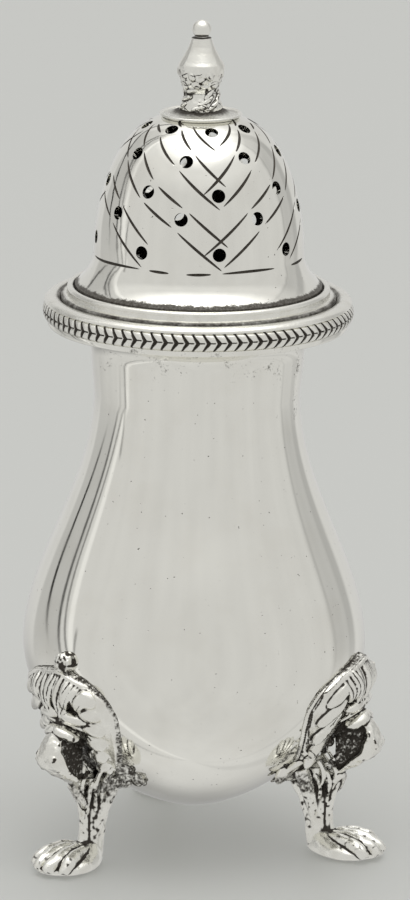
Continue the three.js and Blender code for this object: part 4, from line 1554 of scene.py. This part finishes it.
class SHAKER_OT_stage(bpy.types.Operator):
    """Sets the camera, the pale floor, the cloth tent of light and the soft lamp overhead"""

    bl_idname = "shaker.stage"
    bl_label = "Stage"

    # The tent's gaps, seams and folds: azimuth, slant, half width and soft edge in degrees, the heights
    # between which it fades in, as sines of the angle over the horizon, and how much light it adds
    panels = (
        (-135, 60, 1.7, 0.8, (-0.16, 0.06), -0.75),
        (-117, 32, 1.3, 0.8, (-0.42, -0.06), -0.62),
        (-110, 35, 1.0, 0.6, (-0.42, -0.06), -0.62),
        (-99.5, 0, 1.0, 0.6, (0.1, 0.03), -0.5),
        (-104.3, 25, 2.2, 1.6, (-2, -1), 0.28),
        (-134, 12, 17, 3, (-0.42, -0.06), -0.22),
        (111, 0, 15, 4, (-0.42, -0.06), -0.2),
        (97.5, 0, 1.2, 1, (-2, -1), -0.1),
        (121, 0, 4, 3, (-2, -1), -0.1),
    )
    backdrop_brightness = 0.57
    backdrop_colour = (1.0, 0.995, 0.98)
    floor_glow = (0.575, 0.585, 0.555)
    floor_size = 6
    lamp_place = (0.05, -0.12, 0.75)
    lamp_width = 0.7
    lamp_colour = (1.0, 0.995, 0.985)

    def execute(self, context):
        stage = context.scene.shaker_stage
        self.camera(context, stage)
        self.floor(stage)
        self.tent(context, stage)
        self.lamp(stage)
        context.scene.view_settings.view_transform = "Standard"
        return {"FINISHED"}

    def camera(self, context, stage):
        """A long lens a little above the lid, aimed slightly past the pot's axis and a little rolled."""
        turn = stage.camera_azimuth
        away = Vector((math.sin(turn), -math.cos(turn), 0)) * stage.camera_distance
        place = AXIS + away + UP * stage.camera_height
        heading = turn - stage.camera_aim
        level = Vector((-math.sin(heading), math.cos(heading), 0))
        forward = level * math.cos(stage.camera_pitch) - UP * math.sin(stage.camera_pitch)
        side = forward.cross(UP).normalized()
        over = side.cross(forward)
        right = side * math.cos(stage.camera_roll) + over * math.sin(stage.camera_roll)
        facing = Matrix((right, right.cross(forward), -forward)).transposed()
        start_clean()
        bpy.ops.object.camera_add(location=place)
        camera = context.object
        camera.matrix_world = Matrix.Translation(place) @ facing.to_4x4()
        camera.data.lens = stage.lens
        camera.data.clip_start = 0.01
        context.scene.camera = camera

    def floor(self, stage):
        """A pale floor with a little glow, which the silver's reflections look through."""
        start_clean()
        bpy.ops.mesh.primitive_plane_add(size=self.floor_size)
        floor = bpy.context.object
        floor.name = "floor"
        tree = Tree(bpy.data.materials.new("pale floor"))
        matt = tree.node("ShaderNodeBsdfPrincipled", {
            "Base Color": colour(stage.floor_colour),
            "Roughness": 0.42,
            "Specular IOR Level": 0.3,
        })
        glow = tree.node("ShaderNodeEmission", {"Color": colour(self.floor_glow)})
        clear = tree.node("ShaderNodeBsdfTransparent")
        glossy = tree.value("ShaderNodeLightPath", output="Is Glossy Ray")
        floor.data.materials.append(tree.end_in(tree.blend(glossy, tree.blend(0.2, matt, glow), clear)))

    def tent(self, context, stage):
        """White cloth all round, with the gaps between its panels that the polished pot shows as streaks."""
        world = bpy.data.worlds.new("cloth tent")
        context.scene.world = world
        tree = Tree(world)
        where = tree.value("ShaderNodeTexCoord", output="Generated")
        split = tree.node("ShaderNodeSeparateXYZ", {"Vector": where})
        x, y, z = [Value(tree, split.outputs[axis]) for axis in "XYZ"]
        azimuth = tree.math("ARCTAN2", x, 0.0 - y) * (180 / math.pi)
        drape = tree.noise(tree.place((1, 1, 0.12), "Generated"), 5)
        cloth = 1.0 + (drape - 0.5) * 0.14
        for middle, slant, half_width, softness, fade, light in self.panels:
            away = tree.math("ABSOLUTE", azimuth + z * slant - middle)
            band = away.ramp(half_width + softness, half_width - softness / 2)
            cloth = cloth + band * z.ramp(*fade) * light
        roof = z.ramp(0.42, 0.66) * 0.2 + z.ramp(0.7, 0.98) * 1.3
        table = z.ramp(-0.82, -1.0) * 0.08
        back = tree.math("ABSOLUTE", azimuth).ramp(130, 168) * 0.43
        behind = back * z.ramp(-0.99, -0.72) * z.ramp(-0.1, -0.5)
        strength = (cloth + roof + table - behind) * stage.tent_strength
        seen = tree.value("ShaderNodeLightPath", output="Is Camera Ray")
        background = tree.node("ShaderNodeBackground", {
            "Color": colour(self.backdrop_colour),
            "Strength": strength * (1.0 - seen) + seen * self.backdrop_brightness,
        })
        tree.end_in(background, "ShaderNodeOutputWorld")

    def lamp(self, stage):
        """A broad soft lamp over the pot."""
        start_clean()
        bpy.ops.object.light_add(type="AREA", location=self.lamp_place)
        lamp = bpy.context.object
        lamp.name = "soft lamp"
        lamp.data.shape = "DISK"
        lamp.data.size = self.lamp_width
        lamp.data.energy = stage.lamp_power
        lamp.data.color = self.lamp_colour


class SHAKER_PT_panel(bpy.types.Panel):
    """Lists the shaker's sizes, finishes and pieces"""

    bl_idname = "SHAKER_PT_panel"
    bl_label = "Salt shaker"
    bl_space_type = "VIEW_3D"
    bl_region_type = "UI"
    bl_category = "Shaker"

    def draw(self, context):
        for group in GROUPS:
            settings = getattr(context.scene, group)
            column = self.layout.column(align=True)
            for key in settings.__annotations__:
                column.prop(settings, key)
        for operator in PIECES:
            self.layout.operator(operator.bl_idname)


PIECES = (
    SHAKER_OT_stage,
    SHAKER_OT_pot,
    SHAKER_OT_mouth_ring,
    SHAKER_OT_lid_rim,
    SHAKER_OT_lid_sleeve,
    SHAKER_OT_dome,
    SHAKER_OT_finial_dish,
    SHAKER_OT_finial,
    SHAKER_OT_feet,
)
GROUPS = {
    "shaker_sizes": ShakerSizes,
    "shaker_finish": ShakerFinish,
    "shaker_stage": ShakerStage,
}


def register():
    for kind in (*GROUPS.values(), *PIECES, SHAKER_PT_panel):
        bpy.utils.register_class(kind)
    for key, group in GROUPS.items():
        setattr(bpy.types.Scene, key, PointerProperty(type=group))


def unregister():
    for key in GROUPS:
        delattr(bpy.types.Scene, key)
    for kind in (SHAKER_PT_panel, *reversed(PIECES), *reversed(GROUPS.values())):
        bpy.utils.unregister_class(kind)


def main():
    register()
    bpy.ops.shaker.stage()
    bpy.ops.shaker.pot()
    bpy.ops.shaker.mouth_ring()
    bpy.ops.shaker.lid_rim()
    bpy.ops.shaker.lid_sleeve()
    bpy.ops.shaker.dome()
    bpy.ops.shaker.finial_dish()
    bpy.ops.shaker.finial()
    bpy.ops.shaker.feet()


if __name__ == "__main__":
    main()
